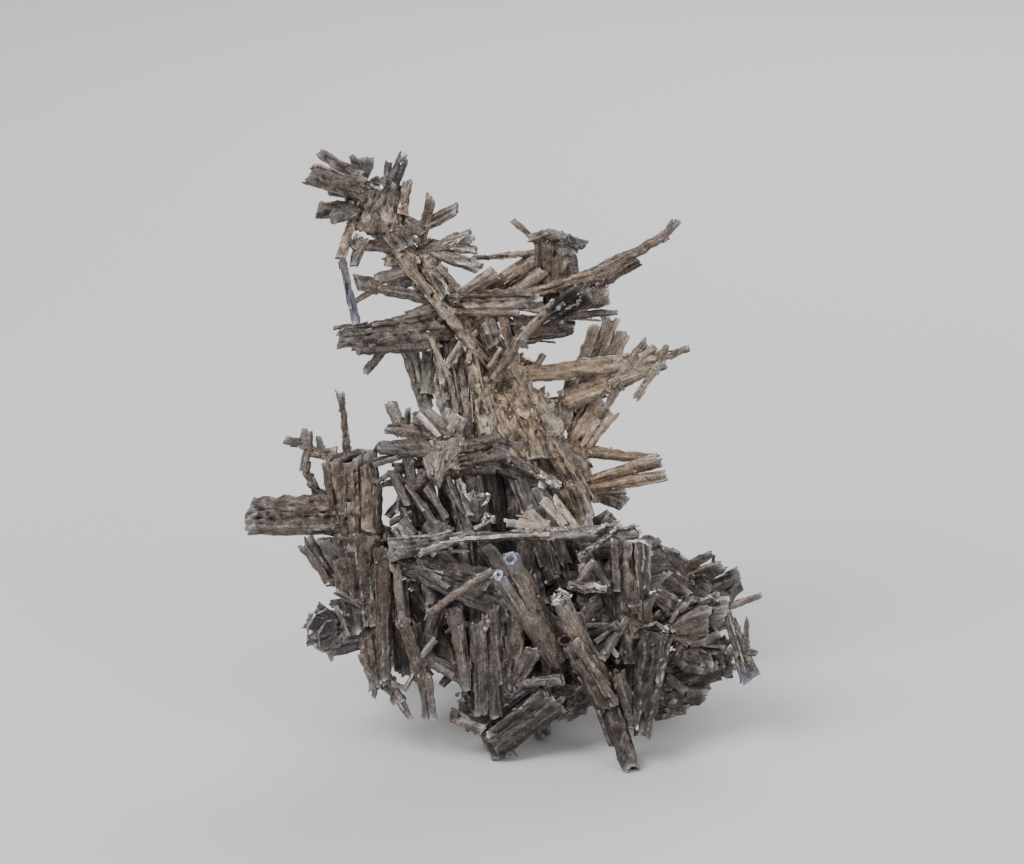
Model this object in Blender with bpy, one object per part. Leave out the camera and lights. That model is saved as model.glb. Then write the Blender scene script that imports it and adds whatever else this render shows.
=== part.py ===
"""A native silver specimen: one intergrown tangle of flat blades, split into nodes at its main forks.

The blades are measured in a portrait frame in millimetres: right, up, and back from the viewer. The
tangle is then leaned back by REST_LEAN, so that it stands on its lowest blades, and moved so that the
origin is under its middle, at floor level. Blender units are metres.
"""

import math
import random

import bmesh
import bpy
from mathutils import Matrix, Vector

MM = 0.001
REST_LEAN = math.radians(18)  # how far the portrait frame leans back when the specimen stands
SIGHT_DISTANCE = 700.0  # mm from the eye that the portrait is measured from
SIGHT_AXIS = (2.2, 60.0)  # right and up of the line of sight
SIGHT_DEPTH = 25.0  # back of the plane that has the portrait's scale
FLOOR_BACK = 6.0  # back of the front foot, whose tip has up = 0
ORIGIN = (0.66, 30.04)  # right and back of the origin, measured on the floor
CARRIER_GAP = 0.3  # mm between a limb and the limb that carries it
END_SKEW = 0.22  # how far a broken end slants, as a share of its width
SEED = 47

SILVER = {
    "trunk": ((0.30, 0.27, 0.21), 0.55),
    "tangle": ((0.20, 0.18, 0.15), 0.50),
    "limb": ((0.26, 0.23, 0.18), 0.52),
}


def blade(root, tip, root_width, tip_width, thickness, turn=0.0):
    """One flat blade: its two ends (right, up, back), its width at each, its thickness, all in mm, and
    how far its broad face turns away from the viewer, in degrees."""
    return {
        "root": root,
        "tip": tip,
        "widths": (root_width, tip_width),
        "thickness": thickness,
        "turn": math.radians(turn),
    }


CROWN = [
    blade((-25, 96.7, 25), (-22.6, 105, 25), 4.6, 5.5, 4.0),
    blade((-20, 96.5, 26), (-19.4, 105, 26), 5.2, 4.6, 4.0, 10),
    blade((-24, 103.4, 24), (-35.0, 107.3, 21), 4.0, 3.5, 2.5, 15),
    blade((-25.6, 106.2, 25), (-32.8, 110.9, 26), 2.6, 1.8, 1.4),
    blade((-25.8, 104, 26), (-25.1, 109.7, 27), 2.2, 5.0, 1.2, 10),
    blade((-25, 104.4, 23.5), (-20.8, 105.6, 23.5), 1.6, 2.0, 2.0),
    blade((-20.2, 103, 25), (-17.4, 110.4, 24), 3.0, 1.8, 1.8, 25),
    blade((-20.6, 104, 26), (-20.2, 109.1, 26), 1.5, 1.2, 1.2),
    blade((-17.7, 99.6, 24.4), (-16.8, 105.7, 24), 2.4, 1.7, 1.2),
    blade((-26, 100.6, 24.5), (-33, 100.4, 22), 3.2, 3.0, 1.6),
    blade((-26, 99.9, 23.5), (-30.6, 98.9, 20), 2.4, 2.4, 1.8, 30),
    blade((-23, 100, 26), (-17.5, 93.5, 27), 7.0, 5.5, 4.5),
    blade((-14.4, 94.0, 25.5), (-12.4, 102.8, 23), 1.7, 1.9, 1.1),
    blade((-18.4, 95.9, 25.6), (-7.8, 100.7, 24), 1.8, 2.0, 1.4, -20),
    blade((-17.4, 98.4, 25.4), (-13.6, 96.4, 25), 2.6, 2.4, 1.6),
    blade((-26.4, 99.6, 24), (-29.0, 91.6, 20), 1.3, 2.0, 1.0),
    blade((-28.9, 92.4, 20.1), (-26.1, 79.6, 19), 1.5, 2.2, 0.9),
    blade((-18.6, 94, 26.5), (-27.9, 94.2, 21), 3.0, 1.5, 1.2, 20),
    blade((-26.0, 95.2, 22.2), (-27.2, 90.2, 21), 3.8, 1.4, 1.1, 10),
]

TRUNK = [
    blade((-3, 75, 32), (8, 58, 33), 9.0, 9.5, 6.0),
    blade((-21.5, 97, 28), (-10.5, 84.5, 30), 4.8, 6.0, 4.2),
    blade((-13, 89, 30), (-0.5, 71, 31.5), 6.0, 8.0, 5.0),
    blade((4, 66, 34), (15.6, 42, 34), 8.6, 6.2, 5.0, -10),
    blade((-19, 93, 26), (-9.5, 81, 25), 1.9, 2.0, 1.8),
    blade((-10, 82, 25.2), (-1.0, 71, 28), 2.0, 1.7, 1.8),
    blade((6.5, 62.5, 29.5), (16, 44.6, 28), 2.6, 2.8, 2.2, 10),
    blade((-1.4, 71.5, 28), (6.2, 55, 27), 7.0, 7.6, 3.0, -12),
    blade((-15.6, 79.8, 30.4), (-13.9, 64.4, 31), 5.0, 2.2, 1.8, 10),
    blade((-12.2, 83, 30), (-10.6, 61, 30), 4.4, 3.4, 1.8, -12),
    blade((-12.6, 79.5, 27.5), (-9.4, 66, 27), 1.3, 1.4, 1.2),
    blade((-8.6, 78, 29), (-6.2, 58, 27), 4.4, 4.0, 2.4, 15),
    blade((-5.6, 76, 27.5), (-1.6, 57.5, 25), 2.6, 3.6, 2.2, -10),
    blade((2.0, 71.5, 32), (9.0, 62.5, 33), 3.0, 2.8, 2.6, 20),
    blade((-6.5, 68, 29), (2.5, 53, 25), 3.6, 4.2, 2.4, 20),
    blade((-14, 92, 28), (-9.6, 84.4, 25.5), 4.0, 3.2, 3.0, 10),
    blade((-16.4, 90.8, 27.4), (-20.9, 91.1, 25), 2.2, 1.9, 1.4),
    blade((-15, 92.4, 28), (-5.4, 95.5, 24), 2.0, 2.7, 1.9, 10),
    blade((-14.4, 94.6, 28), (-4.4, 93.1, 24), 1.6, 1.5, 1.3),
    blade((-14.6, 93.6, 27.4), (-3.5, 89.7, 24), 2.4, 2.3, 1.7, -15),
    blade((-3.4, 79, 29), (-9.8, 71.8, 26), 1.4, 1.3, 1.2),
    blade((-2.6, 66, 31), (-4.4, 64, 44), 4.0, 2.8, 2.2, 20),
    blade((-13, 85, 33), (4.4, 72, 37), 3.2, 2.6, 2.2, 10),
    blade((5, 73.4, 34.6), (-7, 58, 38), 3.2, 2.2, 2.0, -10),
    blade((-2, 62, 36), (13, 49.6, 38.6), 3.4, 2.8, 2.2, 15),
    blade((-4, 60, 31), (-9, 55.6, 38), 3.4, 2.2, 2.0, 20),
    blade((3.4, 62, 35), (0.4, 71.5, 46), 3.6, 2.4, 2.0, -30),
    blade((-9, 82, 31), (-6, 84, 42), 4.0, 2.6, 2.2, 15),
    blade((8, 54, 35), (8.6, 60, 48), 3.4, 2.8, 2.0, 40),
    blade((-18, 93.4, 28.4), (-19, 96.4, 36), 3.6, 2.4, 2.0, 15),
]

LEFT_ARM = [
    blade((-9.5, 79.6, 28.5), (-29.6, 76.9, 21), 6.0, 3.6, 3.0, 10),
    blade((-11.5, 76.4, 27.5), (-26.3, 75.0, 22.5), 3.4, 2.1, 2.0),
    blade((-8.5, 82.8, 28), (-20.4, 79.5, 25.2), 4.2, 1.4, 2.0, -10),
    blade((-20.6, 76, 24.4), (-24.4, 70.6, 25.5), 1.9, 1.2, 1.0),
    blade((-9.5, 83.8, 28), (-22.6, 86.1, 24.6), 3.0, 1.5, 1.6),
    blade((-15.2, 89.6, 27), (-22.8, 87.6, 24.6), 2.2, 2.4, 1.4),
    blade((-14.6, 87.8, 27), (-20.6, 86.0, 25.4), 1.8, 1.8, 1.3),
    blade((-22, 86.4, 24.7), (-26.6, 83.6, 22), 1.2, 1.0, 0.9),
    blade((-21.8, 86.6, 24.8), (-26.1, 87.2, 22), 2.4, 3.0, 1.1, 15),
]

UPPER_RIGHT_LIMB = [
    blade((-10, 83.5, 27.5), (8, 83.9, 25), 3.4, 3.2, 2.6),
    blade((-9.4, 84.7, 25.6), (5.6, 85.3, 24), 1.3, 1.4, 1.6),
    blade((-8.4, 81.8, 26.6), (3.4, 81.6, 25.4), 1.4, 1.5, 1.6),
    blade((3, 84.2, 25.4), (18.4, 88.8, 25), 2.2, 2.8, 2.0),
    blade((15.6, 87.6, 25.4), (30.2, 95.9, 21.4), 3.2, 1.4, 1.7, 10),
    blade((29.6, 95.5, 21.6), (32.4, 98.3, 20), 1.4, 1.1, 1.1),
    blade((17.0, 86.4, 25.8), (25.4, 91.1, 24.2), 2.4, 1.9, 1.4),
    blade((9.6, 84, 26.5), (9.5, 94.6, 24.4), 6.6, 6.0, 1.9, 8),
    blade((13.8, 86.8, 25.8), (12.4, 93.2, 24.8), 2.6, 2.0, 1.6),
    blade((5.9, 94.4, 24.2), (12.6, 95.2, 23), 1.6, 2.2, 2.4),
    blade((11.4, 95.2, 23.6), (15.6, 93.9, 24.2), 1.6, 1.7, 1.9),
    blade((11.2, 93.8, 24.2), (13.9, 92.4, 24.4), 2.4, 1.7, 1.6),
    blade((7, 94.4, 25), (2.2, 98.5, 24.4), 1.1, 0.9, 0.9),
    blade((7.2, 92.6, 25.6), (-4.6, 91.6, 28), 1.2, 0.9, 0.9),
    blade((-2.4, 84.6, 28), (8, 92.2, 26.6), 3.8, 3.4, 2.4, 10),
    blade((2, 84.8, 26.6), (8, 89.4, 24.8), 2.0, 2.4, 1.8, -15),
    blade((-8.4, 84.2, 25.6), (-0.9, 89.1, 24), 1.6, 3.1, 1.3, 15),
    blade((7.0, 81, 23), (16.6, 87.2, 22), 2.6, 4.0, 2.4, 12),
    blade((11, 83.2, 25), (20.0, 84.9, 25), 4.4, 3.4, 3.2, -10),
    blade((8.4, 80.8, 24.6), (21.4, 81.7, 25), 2.4, 0.9, 1.8),
    blade((2.6, 78.4, 27), (13.6, 79.2, 27), 6.0, 2.6, 1.7, 10),
    blade((2.6, 80.6, 27.6), (4.6, 75.2, 27.6), 3.6, 1.4, 1.5),
    blade((9.4, 84.4, 22.6), (3.4, 76.5, 22.6), 2.0, 1.9, 1.7),
    blade((3.8, 77.4, 22.6), (-1.0, 69.4, 25), 1.9, 1.7, 1.6),
    blade((0.2, 82.2, 26), (2.1, 74.6, 26), 1.9, 1.6, 1.2),
    blade((-3.2, 82.4, 27), (-1.2, 75.4, 27), 4.2, 3.4, 2.4, 10),
    blade((5, 86, 27), (6.5, 88.5, 39), 4.4, 2.8, 2.2, 20),
    blade((12, 84.6, 26.4), (17.5, 88.4, 37), 3.0, 2.2, 2.0, -20),
]

RIGHT_LIMB = [
    blade((2.4, 70.2, 33), (25, 72.8, 30.5), 2.4, 3.6, 2.0, 10),
    blade((22, 72.6, 30.6), (31.2, 74.2, 28), 3.2, 1.7, 1.5),
    blade((30.2, 73.8, 28.2), (34.4, 75.2, 27), 1.4, 1.1, 1.1),
    blade((28.8, 73.2, 28.4), (30.4, 75.6, 27.2), 1.5, 1.1, 1.1),
    blade((20.2, 67, 31.4), (26.7, 76.6, 28.4), 2.6, 1.4, 1.5),
    blade((25.4, 73.6, 29), (28.1, 75.6, 28.4), 1.4, 1.2, 1.2),
    blade((11.4, 65.4, 35.5), (22.4, 69.6, 31), 4.0, 3.2, 2.0, -10),
    blade((20, 68.6, 31.2), (30.6, 72.7, 28.4), 2.8, 2.0, 1.4),
    blade((28.6, 72, 28.6), (24.7, 66.3, 29.5), 1.5, 1.2, 1.0),
    blade((21.6, 69.4, 31.2), (19.5, 64.4, 32), 1.7, 1.3, 1.1),
    blade((5.2, 70.4, 32.6), (8.0, 74.2, 32), 1.6, 1.2, 1.1),
    blade((11.2, 60.5, 38), (17.6, 79.2, 43), 3.6, 2.9, 2.0, 15),
    blade((13.6, 63, 38.5), (20.5, 80.8, 42.8), 3.4, 2.9, 1.8, -15),
    blade((15.4, 65, 38), (22.6, 78.0, 42), 3.6, 2.6, 1.8, 10),
    blade((5.4, 62.5, 34), (12.4, 63.5, 38.5), 6.0, 6.0, 3.6, 10),
    blade((10.2, 60.4, 36), (13.4, 70, 37), 2.2, 2.4, 2.2),
]

FORKED_LIMB = [
    blade((13.8, 57.4, 38.5), (16.8, 46.8, 36), 4.2, 2.5, 3.6, 10),
    blade((11.4, 53.5, 36.5), (19.2, 64.8, 38), 5.4, 5.2, 1.9, 8),
    blade((8.6, 57.6, 34), (15, 52.6, 36), 5.2, 4.4, 2.2, 10),
    blade((13.4, 50.2, 36.4), (29.0, 54.9, 32), 1.8, 2.7, 1.8, 12),
    blade((13.6, 49.0, 35.6), (30.2, 52.1, 32.5), 1.7, 2.2, 1.7, -12),
    blade((13.2, 56.8, 37.5), (28.6, 55.2, 38), 2.6, 1.6, 1.5),
    blade((15, 49.4, 36.6), (22.6, 49.4, 40.5), 2.8, 1.6, 1.5, 10),
    blade((18.2, 49.2, 39), (22.6, 46.9, 41), 3.6, 3.0, 1.4),
]

MIDDLE_STAR = [
    blade((-8.6, 57.4, 17.5), (-22.5, 57.1, 13), 4.6, 2.3, 2.4, 10),
    blade((-10.6, 53.4, 17), (-8.0, 63.0, 20.5), 5.0, 4.6, 2.6, -10),
    blade((-10.8, 57.4, 16.4), (-12, 50.3, 14.4), 6.6, 1.5, 1.8),
    blade((-10.6, 59.2, 17.4), (-15.0, 63.7, 15), 1.7, 1.2, 1.3),
    blade((-9.0, 60, 19), (-13.4, 63.6, 17.6), 2.2, 1.9, 1.4, 15),
    blade((-10.4, 60.2, 19), (-15.9, 62.5, 17.8), 2.2, 1.9, 1.4),
    blade((-11, 59.8, 19), (-20.8, 60.7, 19.5), 3.2, 1.9, 1.7, 10),
    blade((-17, 60.2, 19.6), (-16.7, 64.3, 19.2), 1.1, 0.9, 0.9),
    blade((-17.8, 59.6, 19.8), (-19.7, 65.2, 24), 2.2, 2.3, 1.5),
    blade((-14.4, 56.8, 15.6), (-22.5, 54.4, 14), 1.8, 1.2, 1.0),
    blade((-10.6, 54.0, 17), (1.4, 56.2, 20), 2.2, 2.1, 1.8),
    blade((0, 55.9, 19.9), (10.6, 50.4, 23.5), 1.9, 1.6, 1.7),
    blade((-9.4, 56.8, 18.6), (-0.5, 58.4, 23.5), 2.6, 2.4, 1.8, 15),
    blade((-2, 57.8, 23), (3.4, 56.6, 27.2), 3.4, 4.0, 2.4, 10),
    blade((-11.5, 54.6, 16.4), (-20.4, 44.6, 17), 2.0, 1.6, 1.5, 15),
    blade((-10.4, 52.4, 16.2), (-5.2, 41.4, 13.5), 2.0, 1.8, 1.5, 20),
    blade((-16.8, 55.8, 15.8), (-16.0, 50.2, 17.4), 2.2, 2.0, 1.2),
    blade((-18.6, 52.2, 17.2), (-11.6, 43.2, 15), 1.6, 1.3, 1.3),
    blade((-15.2, 51.4, 17.6), (-21.2, 50.6, 16.4), 1.6, 1.2, 1.2),
    blade((-13, 54.6, 18), (-19.4, 53.2, 17.4), 1.6, 2.0, 1.3),
    blade((-10.4, 53.2, 20), (-0.6, 53.8, 22), 4.2, 3.2, 1.8, 10),
    blade((-8.2, 53.4, 21), (-4.4, 48.6, 21), 3.0, 2.4, 1.6, -10),
    blade((-1.6, 54.4, 22), (7.2, 50.4, 25), 2.6, 2.2, 1.8),
]

LEFT_COLUMN = [
    blade((-25.4, 37, 15), (-25.8, 55.8, 15), 7.6, 6.6, 6.0, 8),
    blade((-28.4, 43.6, 15.4), (-30.3, 54.8, 14.6), 3.6, 4.2, 4.0, -12),
    blade((-22.2, 40.6, 15.6), (-21.8, 50.4, 15.6), 3.0, 2.6, 3.2, 8),
    blade((-31, 54.6, 15.4), (-24.2, 56.2, 15.6), 2.4, 1.6, 4.0),
    blade((-27.5, 54.6, 15), (-28.9, 67.3, 15), 1.6, 1.0, 1.0),
    blade((-27, 46, 16.5), (-45.4, 46.1, 17.5), 5.0, 3.8, 3.4, 10),
    blade((-27.5, 43.1, 15.5), (-46, 42.8, 16.5), 3.4, 3.0, 3.0, -8),
    blade((-28.8, 46.6, 17.4), (-34, 49, 17.4), 3.2, 2.2, 2.2),
    blade((-32.6, 47.6, 17.2), (-34.3, 51.4, 17), 1.8, 1.4, 1.3),
    blade((-33.9, 50.4, 17), (-36, 54.0, 16.4), 1.4, 1.4, 1.2),
    blade((-35.5, 53, 16.4), (-35.1, 58, 16.2), 1.4, 1.5, 1.2),
    blade((-35.2, 57, 16.2), (-34.9, 60.4, 16), 2.2, 2.2, 1.6),
    blade((-34.8, 57.9, 16.2), (-39.1, 58.5, 15), 1.7, 1.4, 1.3),
    blade((-35.4, 56.7, 16.8), (-29.8, 55.6, 16), 1.7, 2.6, 1.6),
    blade((-32.6, 56, 16.6), (-32.9, 59.1, 16.2), 1.4, 1.0, 1.0),
    blade((-30.4, 33.2, 15.4), (-35.4, 40.2, 14), 3.4, 3.2, 2.0, 10),
    blade((-28, 34.5, 14.6), (-32.2, 40.6, 13), 3.4, 2.5, 2.0, -15),
    blade((-25.6, 41, 14.6), (-24.2, 24, 12.4), 9.4, 6.4, 5.4, -6),
    blade((-24.0, 27, 12.6), (-22.0, 13.4, 10.8), 5.6, 3.4, 2.8, 8),
    blade((-21.4, 39, 11.4), (-21.0, 14.6, 10), 2.9, 2.4, 2.2),
    blade((-22.6, 15.6, 10.8), (-22.9, 11.8, 11), 1.2, 0.9, 0.9),
    blade((-21, 15.4, 10.8), (-18.0, 10.8, 10), 2.4, 1.9, 1.3),
    blade((-18.6, 11.8, 10.2), (-16.3, 7.9, 9.4), 1.7, 1.0, 1.0),
    blade((-24.8, 24.6, 12.6), (-29.6, 23.8, 11.4), 5.0, 5.4, 2.2, 20),
    blade((-27.8, 24.2, 11.2), (-34.9, 24.2, 10), 5.0, 4.4, 1.8, 15),
    blade((-31.2, 28.1, 11.2), (-31.2, 20.2, 10.6), 4.4, 4.6, 1.8, -5),
    blade((-25.6, 28.8, 13), (-30.7, 28.6, 12), 3.0, 1.5, 1.6),
    blade((-26.6, 33.8, 13.6), (-31.2, 32.4, 13), 2.6, 1.6, 1.6),
    blade((-24.4, 21.6, 12), (-31.2, 19.9, 10.8), 2.0, 1.7, 1.3),
    blade((-25.2, 28.6, 10.4), (-30.0, 31.0, 9.6), 1.2, 1.1, 1.2),
    blade((-25, 46, 17), (-24, 48, 29), 4.0, 2.8, 2.2, 20),
    blade((-26, 31, 14), (-26.4, 33.5, 27), 4.2, 3.0, 2.4, -25),
    blade((-24, 22, 13), (-24.4, 25, 25), 3.6, 2.6, 2.0, 30),
]

CROSS_BLADE = [
    blade((-20.5, 38.5, 9.6), (-4.6, 41.4, 9.4), 4.4, 1.9, 1.8),
    blade((-6, 41.1, 9.4), (9, 41.2, 11), 1.5, 1.7, 1.4),
    blade((-6.4, 40.9, 8.8), (-14.6, 37.9, 8.4), 1.1, 0.9, 0.9),
    blade((7.4, 41.4, 11), (17.6, 41.8, 13.5), 2.2, 2.2, 1.8),
    blade((9, 42.2, 11.4), (1.2, 43.2, 11), 1.6, 1.1, 1.0),
    blade((9, 42.6, 12), (3.8, 44.9, 12), 2.0, 2.4, 1.1, 10),
    blade((15.6, 41.8, 13.4), (22.2, 42.4, 15.4), 2.2, 1.7, 1.9),
    blade((20.6, 41.6, 14.4), (14.4, 37.1, 11.6), 1.2, 1.1, 1.0),
    blade((11.6, 42.8, 12.6), (7.9, 47.6, 16), 1.5, 1.9, 1.1, 10),
    blade((14, 42.4, 13.4), (9.9, 48.0, 16), 1.2, 1.3, 1.0),
    blade((15.2, 42.2, 13.4), (16.6, 44.9, 13.4), 1.1, 0.9, 0.9),
    blade((-11.6, 39.4, 10.2), (-9.8, 42.8, 13.4), 4.0, 3.0, 1.8, 15),
    blade((-16, 39.8, 10.4), (-18.6, 43.4, 12.4), 4.6, 3.6, 1.6, 10),
]

BASE = [
    blade((-14, 24, 20), (34, 22, 24), 12.0, 9.0, 8.0, 10),
    blade((-12, 21, 16), (26, 17.5, 15), 9.0, 13.0, 7.0, 5),
    blade((1, 12, 14), (7, 40, 28), 10.0, 8.0, 8.0, 20),
    blade((14, 42, 30), (20, 12, 22), 10.0, 8.0, 7.0, -10),
    blade((0.2, 34, 11.4), (0.6, 12, 11), 8.4, 6.4, 2.4, 5),
    blade((-4, 25.2, 8.4), (-3.3, 8.6, 9.4), 2.9, 2.7, 2.0),
    blade((-1.2, 28.2, 8.4), (-0.7, 8, 9.4), 2.0, 2.2, 2.0),
    blade((-8.4, 28.2, 9.6), (-6, 13, 9.6), 3.0, 1.9, 1.8, 10),
    blade((-14, 19.4, 11), (-3.6, 13.2, 10.4), 2.4, 2.2, 1.8),
    blade((-18.9, 35.8, 11.2), (-17.5, 24.6, 8.6), 1.5, 1.6, 1.4),
    blade((-17.8, 26, 8.6), (-13.4, 12.4, 8.6), 1.9, 2.3, 1.5),
    blade((-13.6, 16, 8.8), (-12.7, 7.8, 9), 2.3, 2.6, 1.6, 10),
    blade((-12.6, 27.2, 7.8), (-1.3, 34.9, 5), 1.3, 1.3, 1.0),
    blade((11.4, 18, 11.4), (1.6, 37.8, 4.4), 3.8, 3.0, 2.4, 12),
    blade((10, 17.6, 11.4), (-0.2, 34, 4.4), 2.9, 2.1, 2.2, -15),
    blade((17.8, 14, 10.6), (10.9, 30, 4.6), 5.0, 2.9, 2.4, 8),
    blade((20, 9.4, 8), (12.9, 21.8, 6.2), 4.4, 3.6, 2.4, -10),
    blade((-3.2, 12.6, 12), (0.4, 0.8, 11.2), 7.4, 3.4, 4.4, 5),
    blade((10.6, 11.8, 10.6), (0.9, 2.0, 10.2), 2.8, 2.0, 2.0, 20),
    blade((8.6, 13, 9.6), (-2.2, 4.7, 9.8), 2.4, 2.0, 1.8, 10),
    blade((-5.6, 12.6, 12), (-5.0, 5.2, 11.4), 5.0, 2.6, 3.0),
    blade((6, 12, 19), (8.2, 4.2, 20), 4.2, 2.7, 2.2, 10),
    blade((2.6, 13.6, 9.8), (6.1, 20.4, 6.4), 2.6, 2.8, 1.6, 8),
    blade((3, 14.2, 9.8), (11.3, 14.9, 6.0), 1.5, 2.0, 1.5),
    blade((18, 13.6, 12), (11.5, 8.6, 13), 4.4, 2.8, 3.4, 10),
    blade((18.4, 15, 11), (23.8, -1.4, 6), 3.6, 2.9, 2.8, 10),
    blade((17.6, 13, 9.6), (20.6, 3.4, 9.6), 2.8, 1.7, 2.0),
    blade((-19.2, 35.8, 12.6), (-1.8, 32.4, 10.4), 3.6, 5.4, 2.2, -8),
    blade((-15.4, 36.6, 12), (-9.4, 31.6, 10.2), 1.6, 1.5, 1.4),
    blade((-13.2, 34, 13), (-12.6, 28.8, 12.4), 2.6, 1.9, 1.6),
    blade((-16.4, 31, 17), (-9, 17.6, 14.6), 4.4, 3.8, 2.6, 20),
    blade((-10.6, 29, 14), (-14.6, 17, 12.4), 3.2, 2.4, 2.0, -20),
    blade((23.6, 18, 12.4), (22.5, 40.3, 11.4), 4.4, 3.3, 3.8, 10),
    blade((25.4, 26, 11.6), (26.2, 40.8, 10.4), 3.0, 3.2, 3.0, -20),
    blade((25.2, 23, 11.6), (25.8, 29.4, 9.6), 4.0, 4.6, 3.0, 5),
    blade((28.8, 23.4, 9.6), (25.4, 5.2, 7.4), 5.6, 3.8, 3.0, 6),
    blade((21.4, 16.2, 9), (24.6, 6, 8), 2.8, 2.2, 2.2, -10),
    blade((23.2, 26.4, 10.6), (18.4, 18.6, 8.8), 1.9, 1.8, 1.6, 15),
    blade((14.8, 38.6, 15), (22.4, 25.4, 13.2), 2.2, 2.8, 1.8, 10),
    blade((19, 30.4, 14.4), (13.6, 24.4, 12.6), 2.4, 1.8, 1.5),
    blade((22, 31.5, 12.2), (12.6, 32.2, 8.8), 1.7, 1.4, 1.4),
    blade((17, 31.4, 11), (14.6, 36, 12), 2.0, 1.4, 1.2),
    blade((5, 33, 20), (6.4, 47, 22), 5.0, 4.0, 3.0, 20),
    blade((10, 33, 18), (3, 51.8, 24), 3.0, 3.4, 2.0, -20),
    blade((12, 36, 20), (6.6, 49.6, 24), 2.4, 2.6, 2.0, 10),
    blade((-3, 26, 20), (-6, 45, 24), 6.0, 4.4, 3.4, 25),
    blade((-6, 30, 18), (-14, 43, 20), 4.0, 3.0, 2.4, -10),
    blade((-3.4, 30, 19.6), (-1.5, 41.4, 16.6), 3.0, 2.8, 2.2, 10),
    blade((1.6, 35, 27), (-1.6, 54, 27), 4.8, 4.4, 2.4, 15),
    blade((-10, 30, 23), (-17.6, 47, 23), 3.6, 2.4, 2.2, 10),
    blade((-8, 33, 24), (-10.4, 50.8, 26), 3.2, 2.4, 2.0, -15),
    blade((15, 37, 31), (20.3, 44.6, 31), 4.0, 2.8, 2.4, 10),
    blade((-12, 24, 22), (-15, 15.6, 47), 4.2, 3.4, 2.8, 20),
    blade((8, 22, 26), (12, 16.6, 50), 4.4, 3.4, 2.8, -20),
    blade((28, 20, 24), (33, 12.6, 39), 4.0, 3.2, 2.8, 15),
    blade((-2, 22, 24), (-1, 26, 53), 5.0, 3.2, 2.6, 30),
    blade((14, 30, 28), (18, 38, 53), 4.6, 3.0, 2.4, -30),
    blade((-6, 34, 24), (-14, 39.6, 46), 4.0, 2.8, 2.2, 20),
    blade((2, 36, 28), (-2, 49, 45), 4.2, 2.6, 2.2, -15),
    blade((20, 22, 28), (29, 22, 49), 4.6, 3.2, 2.6, 25),
    blade((4, 18, 24), (20, 16.2, 49), 4.4, 3.2, 2.6, 10),
    blade((-16, 34, 30), (10, 19, 40), 4.0, 3.0, 2.4, 10),
    blade((22, 35, 34), (0, 22, 41), 3.8, 2.8, 2.2, -15),
    blade((-8, 20, 36), (7, 40, 42), 3.4, 2.6, 2.2, 20),
    blade((-9, 27, 22), (-21, 24, 40), 4.0, 2.6, 2.2, 25),
    blade((7.4, 33, 39), (-9, 33.5, 47), 3.0, 2.2, 1.8, 10),
    blade((10, 26, 40), (25, 31, 46), 3.4, 2.4, 2.0, -20),
    blade((-15.6, 31, 33), (-7, 45, 37), 3.2, 2.4, 2.0, 10),
    blade((14, 24, 34), (12.6, 43, 44), 3.2, 2.4, 2.0, -25),
    blade((-1.6, 36, 21), (-4.3, 52.4, 22), 2.4, 2.0, 1.6, 10),
    blade((-18.6, 33, 15.6), (-17.8, 16, 14.8), 3.4, 3.0, 1.8, 5),
]

RIGHT_BLOCK = [
    blade((30, 24.6, 17), (40.6, 26.4, 17), 7.0, 7.4, 6.0, 8),
    blade((29.5, 15, 17), (40.6, 18.6, 18), 9.0, 5.6, 6.4, -6),
    blade((28.6, 11.6, 16.4), (37, 12.8, 18), 6.0, 3.2, 5.0, 10),
    blade((30, 25, 14.6), (34.8, 29.8, 14.4), 2.2, 2.0, 1.8),
    blade((33, 27, 15), (40, 29.8, 15), 2.4, 1.8, 2.2, 10),
    blade((38.6, 27.6, 16), (42.4, 24.4, 14.6), 2.6, 2.0, 1.8),
    blade((33, 26.6, 16.4), (27.8, 30.4, 16), 4.4, 3.0, 3.0),
    blade((32, 23, 16.4), (28.2, 27.2, 16), 3.0, 2.8, 3.0, 10),
    blade((37.6, 22.4, 17), (42.4, 20.8, 16.4), 2.6, 2.2, 2.0),
    blade((41.2, 27.6, 15), (45.5, 15.2, 13), 2.0, 3.8, 1.9, 8),
    blade((44.8, 19.2, 14), (44.9, 26.2, 14), 2.0, 0.9, 1.0),
    blade((40, 27.6, 16.2), (47.6, 30.3, 16), 1.2, 1.0, 1.0),
    blade((40.4, 19, 17.4), (41.4, 15.4, 16), 2.4, 1.8, 1.6),
    blade((32, 20.4, 13.6), (38.6, 18.4, 13.4), 3.4, 2.8, 1.8, -10),
    blade((34, 20, 20), (37, 19, 35), 4.4, 3.2, 2.6, 30),
    blade((36, 26, 19), (40, 28, 32), 3.8, 2.8, 2.2, -20),
]

BACK_SPRAY = [
    blade((18, 35, 36), (30, 36.5, 45), 7.0, 6.0, 5.0, 10),
    blade((24, 36.8, 40), (28.0, 40.7, 43), 4.0, 2.8, 2.4, 10),
    blade((28, 36.8, 44), (38, 30.4, 46), 6.4, 6.4, 4.4, -10),
    blade((32, 34.4, 44), (38.5, 37.9, 42), 1.9, 1.5, 1.3),
    blade((34, 32.8, 44), (40.4, 35.9, 42), 3.0, 2.4, 1.5, 10),
    blade((36, 30.8, 45), (43.4, 34.6, 44), 1.8, 1.3, 1.2),
    blade((39, 29.4, 46.4), (43.7, 33.5, 47.4), 4.8, 4.4, 1.8, 10),
    blade((30, 36, 44.6), (32.0, 38.6, 43.4), 2.8, 1.9, 1.8),
    blade((23, 30.5, 36), (30.6, 33.8, 38), 3.4, 1.3, 1.6),
    blade((29, 34, 45), (30, 38, 56), 4.6, 3.0, 2.4, 20),
    blade((34, 32, 46), (37, 30, 56), 4.4, 3.0, 2.4, -20),
]

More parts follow.
